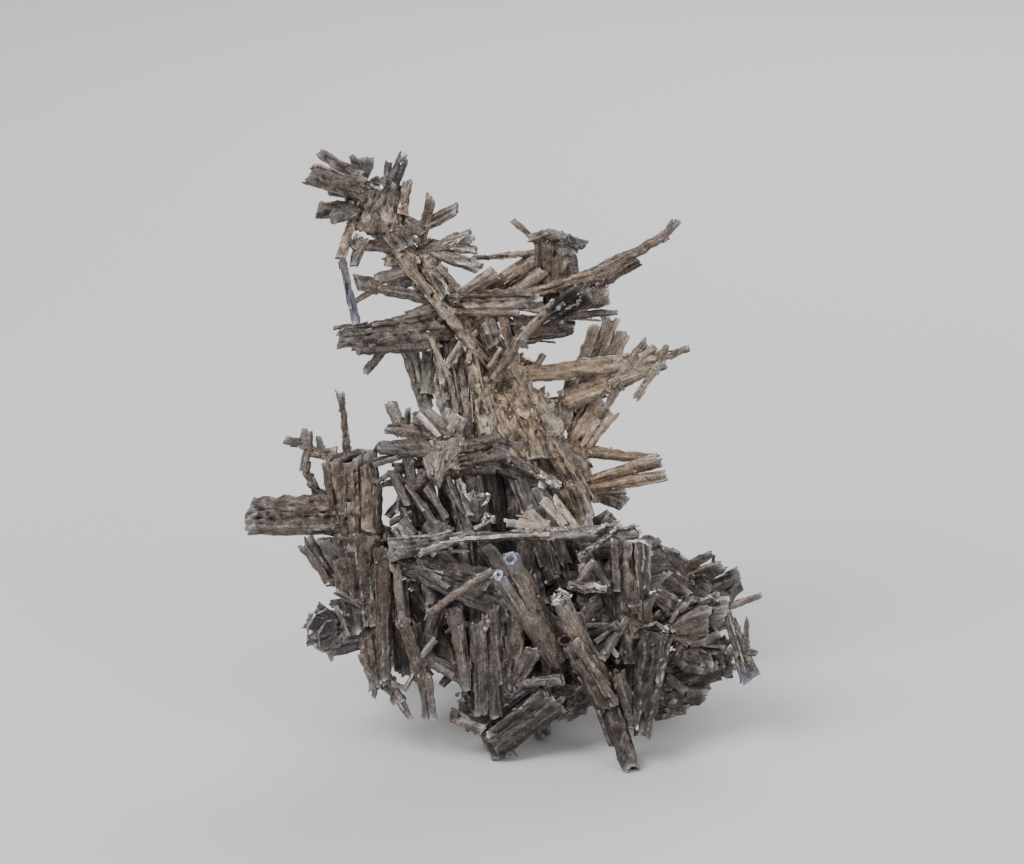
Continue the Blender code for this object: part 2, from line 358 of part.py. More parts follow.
# Each limb: its node, its silver, its blades, and the limbs that it gives way to where they meet.
LIMBS = [
    ("base_tangle", "tangle", BASE, ()),
    ("trunk", "trunk", TRUNK, ("base_tangle",)),
    ("left_column", "tangle", LEFT_COLUMN, ("base_tangle",)),
    ("right_block", "tangle", RIGHT_BLOCK, ("base_tangle",)),
    ("back_spray", "tangle", BACK_SPRAY, ("base_tangle", "right_block", "trunk")),
    ("cross_blade", "limb", CROSS_BLADE, ("base_tangle", "left_column", "trunk")),
    ("middle_star", "limb", MIDDLE_STAR, ("base_tangle", "trunk", "left_column", "cross_blade")),
    ("crown", "limb", CROWN, ("trunk",)),
    ("left_arm", "limb", LEFT_ARM, ("trunk", "crown")),
    ("upper_right_limb", "limb", UPPER_RIGHT_LIMB, ("trunk", "crown", "left_arm")),
    ("right_limb", "limb", RIGHT_LIMB, ("trunk", "upper_right_limb")),
    ("forked_limb", "limb", FORKED_LIMB, ("trunk", "right_limb", "base_tangle", "middle_star")),
]


def standing(point):
    """A portrait point (right, up, back) where it is on the standing specimen, in metres."""
    right, up, back = point
    spread = 1 + (back - SIGHT_DEPTH) / SIGHT_DISTANCE
    right = SIGHT_AXIS[0] + (right - SIGHT_AXIS[0]) * spread
    up = SIGHT_AXIS[1] + (up - SIGHT_AXIS[1]) * spread
    back -= FLOOR_BACK
    sine, cosine = math.sin(REST_LEAN), math.cos(REST_LEAN)
    y = up * sine + back * cosine
    z = up * cosine - back * sine
    return Vector((right - ORIGIN[0], y - ORIGIN[1], z)) * MM


def sides_of(axis, turn):
    """The directions across a blade's width and through its thickness."""
    sight = Vector((0, math.cos(REST_LEAN), -math.sin(REST_LEAN)))
    across = axis.cross(sight)
    if across.length < 0.2:
        across = axis.cross(Vector((0, 0, 1)))
    across = Matrix.Rotation(turn, 3, axis) @ across.normalized()
    return across, across.cross(axis).normalized()


def blade_mesh(spec, chance, swell=0.0):
    """A blade as a closed six-sided mesh with slanting broken ends; swell makes it bigger all round."""
    root, tip = standing(spec["root"]), standing(spec["tip"])
    axis = (tip - root).normalized()
    across, through = sides_of(axis, spec["turn"])
    half_thickness = (spec["thickness"] / 2 + swell) * MM
    mesh = bmesh.new()
    rings = []
    for end, width, outward in ((root, spec["widths"][0], -1), (tip, spec["widths"][1], 1)):
        slant = chance.uniform(-END_SKEW, END_SKEW) * width * MM
        half_width = (width / 2 + swell) * MM
        ring = []
        for side, face in ((-1, -1), (1, -1), (1, 1), (-1, 1)):
            corner = end + across * side * half_width + through * face * half_thickness
            corner += axis * (side * slant + outward * swell * MM)
            ring.append(mesh.verts.new(corner))
        rings.append(ring)
    near, far = rings
    mesh.faces.new(near[::-1])
    mesh.faces.new(far)
    for i in range(4):
        mesh.faces.new((near[i], near[(i + 1) % 4], far[(i + 1) % 4], far[i]))
    bmesh.ops.recalc_face_normals(mesh, faces=mesh.faces)
    data = bpy.data.meshes.new("blade")
    mesh.to_mesh(data)
    mesh.free()
    return data


def blade_collection(name, blades, swell=0.0):
    """Helper objects, one for each blade of a limb, in a hidden collection of their own."""
    chance = random.Random(SEED)
    group = bpy.data.collections.new(name)
    bpy.context.scene.collection.children.link(group)
    for spec in blades:
        helper = bpy.data.objects.new(name, blade_mesh(spec, chance, swell))
        helper.hide_render = True
        helper.display_type = "WIRE"
        group.objects.link(helper)
    return group


def add_boolean(obj, operation, group):
    cut = obj.modifiers.new(operation.title(), "BOOLEAN")
    cut.operation = operation
    cut.solver = "EXACT"
    cut.operand_type = "COLLECTION"
    cut.collection = group


def keep_largest_body(mesh):
    """Deletes the chips that a cut leaves, and keeps the piece with the most faces."""
    left = set(mesh.faces)
    bodies = []
    while left:
        body, edge = set(), [left.pop()]
        while edge:
            face = edge.pop()
            body.add(face)
            near = {f for side in face.edges for f in side.link_faces} & left
            left -= near
            edge.extend(near)
        bodies.append(body)
    bodies.sort(key=len)
    chips = [face for body in bodies[:-1] for face in body]
    bmesh.ops.delete(mesh, geom=chips, context="FACES")


def cut_at_floor(mesh):
    """Cuts the feet flat, so that the specimen stands on small level faces."""
    everything = mesh.verts[:] + mesh.edges[:] + mesh.faces[:]
    bmesh.ops.bisect_plane(mesh, geom=everything, plane_co=(0, 0, 0), plane_no=(0, 0, -1), clear_outer=True)
    rims = [edge for edge in mesh.edges if edge.is_boundary]
    bmesh.ops.holes_fill(mesh, edges=rims)


def silver(name):
    colour, roughness = SILVER[name]
    material = bpy.data.materials.new(name + "_silver")
    material.use_nodes = True
    shader = material.node_tree.nodes["Principled BSDF"]
    shader.inputs["Base Color"].default_value = (*colour, 1)
    shader.inputs["Metallic"].default_value = 1.0
    shader.inputs["Roughness"].default_value = roughness
    return material


def remove_group(group):
    for helper in list(group.objects):
        bpy.data.objects.remove(helper)
    bpy.data.collections.remove(group)


def fuse_limb(name, blades, carriers):
    """One solid of all of a limb's blades, cut back by CARRIER_GAP from the limbs that carry it."""
    limb = bpy.data.objects.new(name, blade_mesh(blades[0], random.Random(SEED)))
    bpy.context.scene.collection.objects.link(limb)
    groups = [blade_collection(name + "_blades", blades)]
    add_boolean(limb, "UNION", groups[0])
    for carrier in carriers:
        groups.append(blade_collection(carrier + "_swollen", carrier_blades(carrier), CARRIER_GAP))
        add_boolean(limb, "DIFFERENCE", groups[-1])
    graph = bpy.context.evaluated_depsgraph_get()
    mesh = bmesh.new()
    mesh.from_mesh(limb.evaluated_get(graph).to_mesh())
    keep_largest_body(mesh)
    cut_at_floor(mesh)
    bmesh.ops.triangulate(mesh, faces=mesh.faces)
    limb.modifiers.clear()
    mesh.to_mesh(limb.data)
    mesh.free()
    for group in groups:
        remove_group(group)
    return limb


def carrier_blades(name):
    return next(blades for limb, _, blades, _ in LIMBS if limb == name)


def clear_scene():
    for obj in list(bpy.data.objects):
        bpy.data.objects.remove(obj)


def build():
    clear_scene()
    materials = {name: silver(name) for name in SILVER}
    for name, kind, blades, carriers in LIMBS:
        limb = fuse_limb(name, blades, carriers)
        limb.data.materials.append(materials[kind])


build()
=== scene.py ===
"""The looks of the native silver specimen: striated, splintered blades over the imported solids.

The blades are measured in a portrait frame in mm: right, up, and back from the viewer. The specimen
stands leaned back from it by REST_LEAN, as in the solids.
"""

import math
from collections import Counter, namedtuple
from functools import partial

import bpy
import numpy as np
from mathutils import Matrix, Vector


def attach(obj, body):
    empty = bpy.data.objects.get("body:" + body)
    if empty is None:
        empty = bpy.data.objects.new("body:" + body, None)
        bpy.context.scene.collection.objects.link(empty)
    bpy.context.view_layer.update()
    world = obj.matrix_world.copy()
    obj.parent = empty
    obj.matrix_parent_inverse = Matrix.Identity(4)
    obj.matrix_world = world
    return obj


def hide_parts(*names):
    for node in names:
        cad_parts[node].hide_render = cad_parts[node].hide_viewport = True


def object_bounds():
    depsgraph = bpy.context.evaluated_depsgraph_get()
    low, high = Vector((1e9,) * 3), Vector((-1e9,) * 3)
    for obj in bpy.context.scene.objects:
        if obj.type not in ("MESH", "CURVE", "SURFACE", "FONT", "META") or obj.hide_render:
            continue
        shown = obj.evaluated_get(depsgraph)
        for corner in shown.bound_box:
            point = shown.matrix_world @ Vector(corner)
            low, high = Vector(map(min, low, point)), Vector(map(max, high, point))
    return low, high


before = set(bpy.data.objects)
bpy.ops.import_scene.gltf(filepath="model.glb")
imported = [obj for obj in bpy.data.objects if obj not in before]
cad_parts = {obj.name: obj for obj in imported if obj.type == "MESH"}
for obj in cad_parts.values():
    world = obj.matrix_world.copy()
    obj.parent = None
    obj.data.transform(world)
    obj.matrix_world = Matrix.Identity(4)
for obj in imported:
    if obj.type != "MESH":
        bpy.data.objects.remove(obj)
CAD_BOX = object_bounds()

MM = 0.001
BOX_MARGIN = 1e-5  # metres that the blades keep inside the solids' box
REST_LEAN = math.radians(18)  # how far the portrait frame leans back when the specimen stands
SIGHT_DISTANCE = 700.0  # mm from the camera to the plane that has the portrait's scale
SIGHT_AXIS = (2.2, 60.0)  # right and up of the line of sight
SIGHT_DEPTH = 25.0  # back of the plane that has the portrait's scale
FLOOR_BACK = 6.0  # back of the front foot, whose tip has up = 0
ORIGIN = (0.66, 30.04)  # right and back of the origin, measured on the floor
PICTURE_WIDTH = 186.2  # mm that the camera's frame spans at SIGHT_DEPTH
SEED = 47

Blade = namedtuple("Blade", "root tip widths thickness turn words shape")
SHAPES = ("crust", "rough", "smooth", "beads", "tube", "bright", "disc", "eye", "core")


def blade(root, tip, widths, thickness, turn, look):
    """One flat blade, with its turn in degrees and the words of its look, which may end in a shape."""
    words = Counter()
    for word in look:
        name, _, times = word.partition("*")
        words[name] += int(times or 1)
    shape = look[-1] if look and look[-1] in SHAPES else ""
    return Blade(root, tip, widths, thickness, math.radians(turn), words, shape)


def rows_of(text):
    """The blades of a table's rows. A row is one blade: its root and its tip (right, up, back), its
    width at each, its thickness, its turn unless it has none, and its look, in which dark*3 is three
    darks. Or it is a strand: a thin crooked blade, as short straight ones from point to point."""
    blades = []
    for row in text.strip().splitlines():
        if row.startswith("strand"):
            head, line = row.split(":")
            width, look = float(head.split()[1]), head.split()[2:]
            points = [tuple(map(float, point.split())) for point in line.split(",")]
            for a, b in zip(points, points[1:]):
                blades.append(blade(a, b, (width, width), 0.8 * width, 0, look))
        else:
            sizes = [float(word) for word in row.split() if not word[0].isalpha()]
            turn = sizes[9] if len(sizes) > 9 else 0
            look = row.split()[len(sizes) :]
            blades.append(blade(sizes[:3], sizes[3:6], sizes[6:8], sizes[8], turn, look))
    return blades


def table(text):
    """A limb's blades, and after the word thin the ones that its solid leaves out."""
    blades, _, extras = text.partition("\nthin\n")
    return rows_of(blades), rows_of(extras)


CROWN = table("""
-25 96.7 25 -22.6 105 25 4.6 5.5 4 crust
-20 96.5 26 -19.4 105 26 5.2 4.6 4 10 crust
-24 103.4 24 -35 107.3 21 4 3.5 2.5 15 grey
-25.6 106.2 25 -32.8 110.9 26 2.6 1.8 1.4 grey rough
-25.8 104 26 -25 109.9 26 2.2 4.6 1.2 10 dark grey
-25 104.4 23.5 -20.8 105.6 23.5 1.6 2 2
-20.2 103 25 -17.4 110.4 24 3 1.8 1.8 25 dark steel
-20.6 104 26 -20.2 109.1 26 1.5 1.2 1.2
-17.7 99.6 24.4 -16.9 105.7 24 2 1.5 1.2 tan light rough
-26 100.6 24.5 -33 100.4 22 3.2 3 1.6 tan rough
-26 99.9 23.5 -30.6 98.9 20 2.4 2.4 1.8 30 dark grey crust
-23 100 26 -17.5 93.5 27 7 5.5 4.5 crust
-14.4 94 25.5 -12.4 102.8 23 1.7 1.9 1.1 tan light
-18.4 95.9 25.6 -7.8 100.7 24 1.8 2 1.4 -20
-17.4 98.4 25.4 -13.6 96.4 25 2.6 2.4 1.6
-26.4 99.6 24 -29 91.6 20 1.1 1.9 1 tan light*4
-28.9 92.4 20.1 -26.1 79.6 19 1.1 1.6 0.9 dark*2 violet rough
-18.6 94 26.5 -27.9 94.2 21 3 1.5 1.2 20
-25.2 95.2 22.2 -26.6 90.2 21 3 1.2 1.1 10 dark
thin
-27 103.2 26 -31.2 103.6 27 1.8 1.4 1
-26 104.8 23.4 -24.6 106.2 22.6 1.5 1.3 1.2
-23.4 105 23.2 -21.6 106 22.4 1.9 1.7 1.4
-17.2 102 24 -16.1 105.6 23.6 0.9 0.6 0.7
-13.4 96.9 24 -8 99.8 23.4 0.9 1.1 0.8
-18.2 109 23.2 -17.3 110.6 23 1 1 0.8 light steel*2 beads
-23.4 105.2 22.4 -21.4 104.5 22.2 1.1 1.2 1 light beads
""")

TRUNK = table("""
-3 75 32 8 58 33 9 9.5 6 crust
-21.5 97 28 -10.5 84.5 30 4.8 6 4.2 light crust
-13 89 30 -0.5 71 31.5 6 8 5 light crust
4 66 34 15.6 42 34 8.6 6.2 5 -10 crust
-19 93 26 -9.5 81 25 1.9 2 1.8 light crust
-10 82 25.2 -1 71 28 2 1.7 1.8 light rough
6.5 62.5 29.5 16 44.6 28 2.6 2.8 2.2 10 rough
-1.4 71.5 28 6.2 55 27 7 7.6 3 -12 tan crust
-17.8 79.8 30.4 -13.2 63.8 31 3.4 2.6 1.6 10 dark grey smooth
-12.2 83 30 -12.4 67 30 4.2 4 1.6 -12 dark grey smooth
-12.6 79.5 27.5 -9.4 66 27 1.3 1.4 1.2 crust
-8.6 78 29 -6.2 58 27 4.4 4 2.4 15 grey rough
-5.6 76 27.5 -1.6 57.5 25 2.6 3.6 2.2 -10 crust
2 71.5 32 9 62.5 33 3 2.8 2.6 20
-6.5 68 29 2.5 53 25 3.6 4.2 2.4 20 crust
-14 92 28 -9.6 84.4 25.5 4 3.2 3 10 crust
-16.4 90.8 27.4 -20.9 91.1 25 2.2 1.9 1.4
-15 92.4 28 -5.4 95.5 24 2 2.7 1.9 10 dark grey
-14.4 94.6 28 -4.4 93.1 24 1.6 1.5 1.3
-14.6 93.6 27.4 -3.5 89.7 24 2.4 2.3 1.7 -15 dark grey
-3.4 79 29 -9.8 71.8 26 1.4 1.3 1.2
-2.6 66 31 -4.4 64 44 4 2.8 2.2 20
-13 85 33 4.4 72 37 3.2 2.6 2.2 10
5 73.4 34.6 -7 58 38 3.2 2.2 2 -10
-2 62 36 13 49.6 38.6 3.4 2.8 2.2 15
-4 60 31 -9 55.6 38 3.4 2.2 2 20
3.4 62 35 0.4 71.5 46 3.6 2.4 2 -30
-9 82 31 -6 84 42 4 2.6 2.2 15
8 54 35 8.6 60 48 3.4 2.8 2 40
-18 93.4 28.4 -19 96.4 36 3.6 2.4 2 15
thin
-17.6 91.5 25.2 -12.4 85.2 24.6 1.3 1.2 0.9
-11.2 90.2 25 -7.4 85.8 24.6 1.4 1.1 0.9
-1.8 71.8 25.6 0.3 75.2 25 1 0.8 0.7
-9.8 72.2 26 -7 76.6 25.6 1 0.8 0.8
-13.2 78.4 26 -9.4 70.4 26 0.9 0.8 0.7
-9.4 70.6 26 -7.8 63.6 25.8 0.8 0.8 0.7
strand 0.5 beads: -10.6 88 24, -9.7 86.6 24, -9.4 85 24
strand 0.5 beads: -8.2 91 23.4, -6 90.6 23.2, -3.8 89.4 23
-11.6 72 30 -8.8 60.4 29 2.6 2.4 1.2 grey smooth
strand 0.5 beads: -9 93.8 23.2, -6.6 95.6 23, -4.8 95.4 23, -5 94.4 23
""")

LEFT_ARM = table("""
-9.5 79.6 28.5 -29.6 76.9 21 6 3.6 3 10 rough
-11.5 76.4 27.5 -26.3 75 22.5 3.4 2.1 2
-8.5 82.8 28 -20.4 79.5 25.2 4.2 1.4 2 -10
-20.6 76 24.4 -24.4 70.6 25.5 1.9 1.2 1
-9.5 83.8 28 -22.6 86.1 24.6 3 1.5 1.6 light
-15.2 89.6 27 -22.8 87.6 24.6 2.2 2.4 1.4
-14.6 87.8 27 -20.6 86 25.4 1.8 1.8 1.3
-22 86.4 24.7 -26.6 83.6 22 1.2 1 0.9 tan light*2
-21.8 86.6 24.8 -26.1 87.2 22 2.4 3 1.1 15 tan light
""")

UPPER_RIGHT_LIMB = table("""
-10 83.5 27.5 8 83.9 25 3.4 3.2 2.6 light rough
-9.4 84.7 25.6 5.6 85.3 24 1.3 1.4 1.6
-8.4 81.8 26.6 3.4 81.6 25.4 1.4 1.5 1.6
3 84.2 25.4 18.4 88.8 25 2.2 2.8 2 tan light
15.6 87.6 25.4 30.2 95.9 21.4 3.2 1.4 1.7 10 tan light
29.6 95.5 21.6 32.4 98.3 20 1.4 1.1 1.1 light
17 86.4 25.8 25.4 91.1 24.2 2.4 1.9 1.4
9.6 84 26.5 9.5 95.3 24.4 5.2 6.8 1.9 8 dark*3 tan rough
13.8 86.8 25.8 12.4 93.2 24.8 2.6 2 1.6
6.2 95 24.2 11.2 95.7 23 1.6 1.7 2.4 dark crust
11 95.2 23.6 15.6 93.9 24.2 1.8 1.7 1.9 dark crust
11.2 93.8 24.2 13.9 92.4 24.4 2.4 1.7 1.6 crust
7 94.4 25 2.2 98.5 24.4 1.2 1.1 0.9 tan light
7.2 92.6 25.6 -4.6 91.6 28 1.2 0.9 0.9 tan light
-2.4 84.6 28 8 92.2 26.6 3.8 3.4 2.4 10 tan light rough
2 84.8 26.6 8 89.4 24.8 2 2.4 1.8 -15 tan light
-8.4 84.2 25.6 -0.9 89.1 24 1.6 2.8 1.3 15 tan light
7.6 80.4 23 16.2 85.8 21.4 3 4.4 2.4 12 dark*4 rough
11 83.2 25 20 84.9 25 4.4 3.4 3.2 -10
8.4 80.8 24.6 21.4 81.7 25 2.4 0.9 1.8
2.6 78.4 27 13.6 79.2 27 6 2.6 1.7 10
2.6 80.6 27.6 4.6 75.2 27.6 3.6 1.4 1.5
strand 1.3 rough: 5.4 95.2 23, 8.8 96.4 22.4, 12.1 95.6 22.6, 14.8 93.6 23.4
10.2 83.6 22.2 3.4 76.5 22.6 1.8 1.9 1.7 tan light
3.8 77.4 22.6 -1 69.4 25 1.9 1.7 1.6 tan
0.2 82.2 26 2.1 74.6 26 1.9 1.6 1.2 tan light
-3.2 82.4 27 -1.2 75.4 27 4.2 3.4 2.4 10
5 86 27 6.5 88.5 39 4.4 2.8 2.2 20
12 84.6 26.4 17.5 88.4 37 3 2.2 2 -20
strand 0.2 grey*2 light: 12 82.4 20.9, 14.2 83.4 20.8, 14.8 85.2 20.6, 16.6 86 20.6
""")

RIGHT_LIMB = table("""
2.4 70.2 33 25 72.8 30.5 2.4 3.6 2 10 tan
22 72.6 30.6 31.2 74.2 28 3.2 1.7 1.5
30.2 73.8 28.2 34.4 75.2 27 1.4 1.1 1.1
28.8 73.2 28.4 30.4 75.6 27.2 1.5 1.1 1.1
20.2 67 31.4 26.7 76.6 28.4 2.6 1.4 1.5
25.4 73.6 29 28.1 75.6 28.4 1.4 1.2 1.2
11.4 65.4 35.5 22.4 69.6 31 4 3.2 2 -10 tan
20 68.6 31.2 30.6 72.7 28.4 2.8 2 1.4
28.6 72 28.6 24.7 66.3 29.5 1.5 1.2 1
21.6 69.4 31.2 19.5 64.4 32 1.7 1.3 1.1
5.2 70.4 32.6 8 74.2 32 1.6 1.2 1.1
11.2 60.5 38 17.6 79.2 43 3.6 2.9 2 15
13.6 63 38.5 20.5 80.8 42.8 3.4 2.9 1.8 -15
15.4 65 38 22.6 78 42 3.6 2.6 1.8 10
5.4 62.5 34 12.4 63.5 38.5 6 6 3.6 10
10.2 60.4 36 13.4 70 37 2.2 2.4 2.2
""")

FORKED_LIMB = table("""
13.8 57.4 38.5 16.8 46.8 36 4.2 2.5 3.6 10
11.4 53.5 36.5 19.2 64.8 38 5.4 5.2 1.9 8 tan rough
8.6 57.6 34 15 52.6 36 5.2 4.4 2.2 10
13.4 50.2 36.4 29 54.9 32 1.8 2.7 1.8 12 tan
13.6 49 35.6 30.2 52.1 32.5 1.7 2.2 1.7 -12 tan
13.2 56.8 37.5 28.6 55.2 38 2.6 1.6 1.5
15 49.4 36.6 22.6 49.4 40.5 2.8 1.6 1.5 10
18.2 49.2 39 22.6 46.9 41 3.6 3 1.4
""")

# The last three thin blades are dark sheets behind the hollow: painted shade.
MIDDLE_STAR = table("""
-8.6 57.4 17.5 -22.5 57.1 13 4.6 2.3 2.4 10 grey tube
-10.6 53.4 17 -8 63 20.5 5 4.6 2.6 -10 tan crust
-10.8 58.4 16.6 -12 50.3 14 8.4 1.6 1.8 dark
-10.6 59.2 17.4 -15 63.7 15.2 1.9 1.5 1.3 dark
-9 60 19 -13.4 63.6 17.6 2.2 1.9 1.4 15
-10.4 60.2 19 -15.9 62.5 17.8 2.2 1.9 1.4
-11 59.8 19 -20.8 60.7 19.5 3.2 1.9 1.7 10
-17 60.2 19.6 -16.7 64.3 19.2 1.1 0.9 0.9
-17.8 59.6 19.8 -19.7 65.2 24 2.2 2.3 1.5
-14.4 56.8 15.6 -22.5 54.4 14 1.8 1.2 1
-10.6 54 17 1.4 56.2 20 2.2 2.1 1.8
0 55.9 19.9 10.6 50.4 23.5 1.9 1.6 1.7
-9.4 56.8 18.6 -0.5 58.4 23.5 2.6 2.4 1.8 15
-2 57.8 23 3.4 56.6 27.2 3.4 4 2.4 10
-11.5 54.6 16.4 -20.4 44.6 17 2 1.6 1.5 15 dark
-10.4 52.4 16.2 -5.2 41.4 13.5 2 1.8 1.5 20 dark
-16.8 55.8 15.8 -16 50.2 17.4 2.2 2 1.2 dark
-18.6 52.2 17.2 -11.6 43.2 15 1.6 1.3 1.3 dark
-15.2 51.4 17.6 -21.2 50.6 16.4 1.6 1.2 1.2 dark
-13 54.6 18 -19.4 53.2 17.4 1.6 2 1.3 dark
-10.4 53.2 20 -0.6 53.8 22 4.2 3.2 1.8 10 dark
-8.2 53.4 21 -4.4 48.6 21 3 2.4 1.6 -10 dark
-1.6 54.4 22 7.2 50.4 25 2.6 2.2 1.8
thin
-11.2 59.4 15.4 -14.9 63.2 13.8 0.8 1.1 0.8 light*3 tan bright
-9.2 60.4 17.2 -8 63.2 16.8 1 0.9 0.8 light*2 tan
-18.2 48.4 15 -18.8 45.2 14.6 0.8 0.6 0.6 dark
-17.6 46.2 14.6 -16.2 42.8 14.4 0.9 0.8 0.6 dark
-7.6 51.4 14 -5.2 44.8 13.4 0.9 1.6 0.7 grey rough
-4 43.4 13.6 -3.7 48.2 12.8 1.4 3.6 0.7 dark rough
strand 0.4 light*3 beads: -7.6 51.4 12.8, -6.6 50.6 12.6, -6.4 49 12.5, -5.3 47.6 12.4
strand 0.4 light*3 beads: -5.6 48.2 12.3, -5 49.4 12.2, -4.2 48.2 12.2, -3 48.6 12.1, -1.8 48.6 12
-4.6 42.4 12.6 -0.9 44.2 12.4 1 0.8 0.7
-20 43.4 15.8 -16.2 45.4 15 1.2 1 0.8 dark
-13.4 50 16.4 -9.8 44.4 16 1.4 1.2 0.8 dark
strand 0.4 beads: -1.8 48.6 12, -2.3 47.2 12.1, -3.2 46.6 12.2
strand 0.5 dark beads: -3.2 43.6 12.2, -2.6 45 12.1, -1.4 44.8 12, -1.2 43.6 12
4 53.6 21.4 11 50.2 22.8 1.4 1.6 1 light beads
-15.8 52 22 -12.6 43 22 6.5 6.5 1.2 dark*2 rough
-6.4 52 19 -4.6 43.4 19 4 4.4 1.2 dark*2 rough
2.2 52.4 27 3 43.6 27 3 3 1.2 dark rough
""")

LEFT_COLUMN = table("""
-25.4 37 15 -25.8 55.8 15 7.6 6.6 6 8 tan rough
-28.4 43.6 15.4 -30.3 54.8 14.6 3.6 4.2 4 -12 tan rough
-22.9 40.6 15.6 -22.6 50.4 15.6 2.6 2.2 3.2 8 dark
-31 54.6 15.4 -24.2 56.2 15.6 2.4 1.6 4 crust
-27.5 54.6 15 -28.9 67.3 15 1.6 1 1 crust
-27 46 16.5 -45.4 46.1 17.5 5 3.8 3.4 10 dark*2 crust
-27.5 43.1 15.5 -46 42.8 16.5 3.4 3 3 -8 dark rough
-28.8 46.6 17.4 -34 49 17.4 3.2 2.2 2.2
-32.6 47.6 17.2 -34.3 51.4 17 1.8 1.4 1.3
-33.9 50.4 17 -36 54 16.4 1.4 1.4 1.2 tan light crust
-35.5 53 16.4 -35.1 58 16.2 1.4 1.5 1.2 tan light crust
-35.2 57 16.2 -34.9 60.4 16 2.2 2.2 1.6
-34.8 57.9 16.2 -39.1 58.5 15 1.7 1.4 1.3
-35.4 56.7 16.8 -29.8 55.6 16 1.7 2.6 1.6 tan crust
-32.6 56 16.6 -32.9 59.1 16.2 1.4 1 1
-30.4 33.2 15.4 -35.4 40.2 14 3.4 3.2 2 10
-28 34.5 14.6 -32.2 40.6 13 3.4 2.5 2 -15
-25.6 41 14.6 -24.2 24 12.4 9.4 6.4 5.4 -6 dark*2 rough
-24 27 12.6 -22 13.4 10.8 5.6 3.4 2.8 8 dark*2 rough
-21.4 39 11.4 -21 14.6 10 2.9 2.4 2.2 dark*2
-22.6 15.6 10.8 -22.9 11.8 11 1.2 0.9 0.9
-21 15.4 10.8 -18 10.8 10 2.4 1.9 1.3
-18.6 11.8 10.2 -16.3 7.9 9.4 1.7 1 1
-24.8 24.6 12.6 -29.6 23.8 11.4 5 5.4 2.2 20 dark*2
-27.6 24.3 11.2 -34.6 24.2 10.4 7.4 7 1.6 15 dark*3 disc
-25.6 28.8 13 -30.7 28.6 12 3 1.5 1.6 dark*2
-26.6 33.8 13.6 -31.2 32.4 13 2.6 1.6 1.6 dark
-24.4 21.6 12 -31.2 19.9 10.8 2 1.7 1.3 dark*2 steel
-25.2 28.6 10.4 -30 31 9.6 1.2 1.1 1.2 light
-25 46 17 -24 48 29 4 2.8 2.2 20
-26 31 14 -26.4 33.5 27 4.2 3 2.4 -25
-24 22 13 -24.4 25 25 3.6 2.6 2 30
thin
-29 37 12.6 -27.4 27.4 12.2 3.2 2.8 1.6 -10 dark crust
-20.8 43 15.6 -19.4 29 15 2.6 2.6 1.2 dark*3 rough
-23 54 13 -18.8 55.4 13.4 1.1 0.8 0.7
-22.6 50.6 13.4 -19.6 52.9 14 1 0.8 0.7
-19.8 53 14 -16.9 46.8 14.6 1.5 1.4 0.9
-44 45.2 15.6 -46.6 43.8 15.4 0.8 0.4 0.5
-29.8 28.4 9.2 -27.6 23 9.2 0.7 0.7 0.6 grey light
-29.6 25.4 9.8 -33.6 28.2 9.4 2 2.6 0.8 15 dark*4 grey
-29.4 24.6 9.6 -35.2 25.6 9.2 2 3 0.8 -10 dark*4 grey
-29.4 23.8 9.7 -35 22.4 9.3 2 2.8 0.8 10 dark*4 grey
-29.4 22.8 9.9 -33.2 20.4 9.6 2 2.2 0.8 -20 dark*4 grey
strand 0.2 grey*2 light: -34.9 22 8.6, -35 24.6 8.6, -33.6 26.8 8.6, -31.4 27.9 8.6
strand 0.2 grey*2: -32.8 20.6 8.8, -33 23.6 8.6, -31.6 25.6 8.6, -29.8 25.8 8.8
-24.6 16.8 9.4 -22.6 12.8 9.4 0.5 0.6 0.5 light steel
-31.4 20.8 10 -30.5 18.4 10 1.2 0.7 0.6
-25.4 19.6 10 -22.2 13.8 9.8 1.1 0.9 0.8
-19.6 14.2 9.6 -17 13.4 9.4 1 0.9 0.7
-17.2 13.3 9.4 -15.6 15.9 9.6 0.9 0.7 0.6
-29.4 52 12 -28.4 45 12.4 2 1.6 1 tan crust
-24.6 54 11.8 -24 42 11.8 1.4 2.2 1 tan rough
-27.2 43.6 11.8 -27.2 42 11.8 3.2 2.3 0.3 dark tan eye
""")

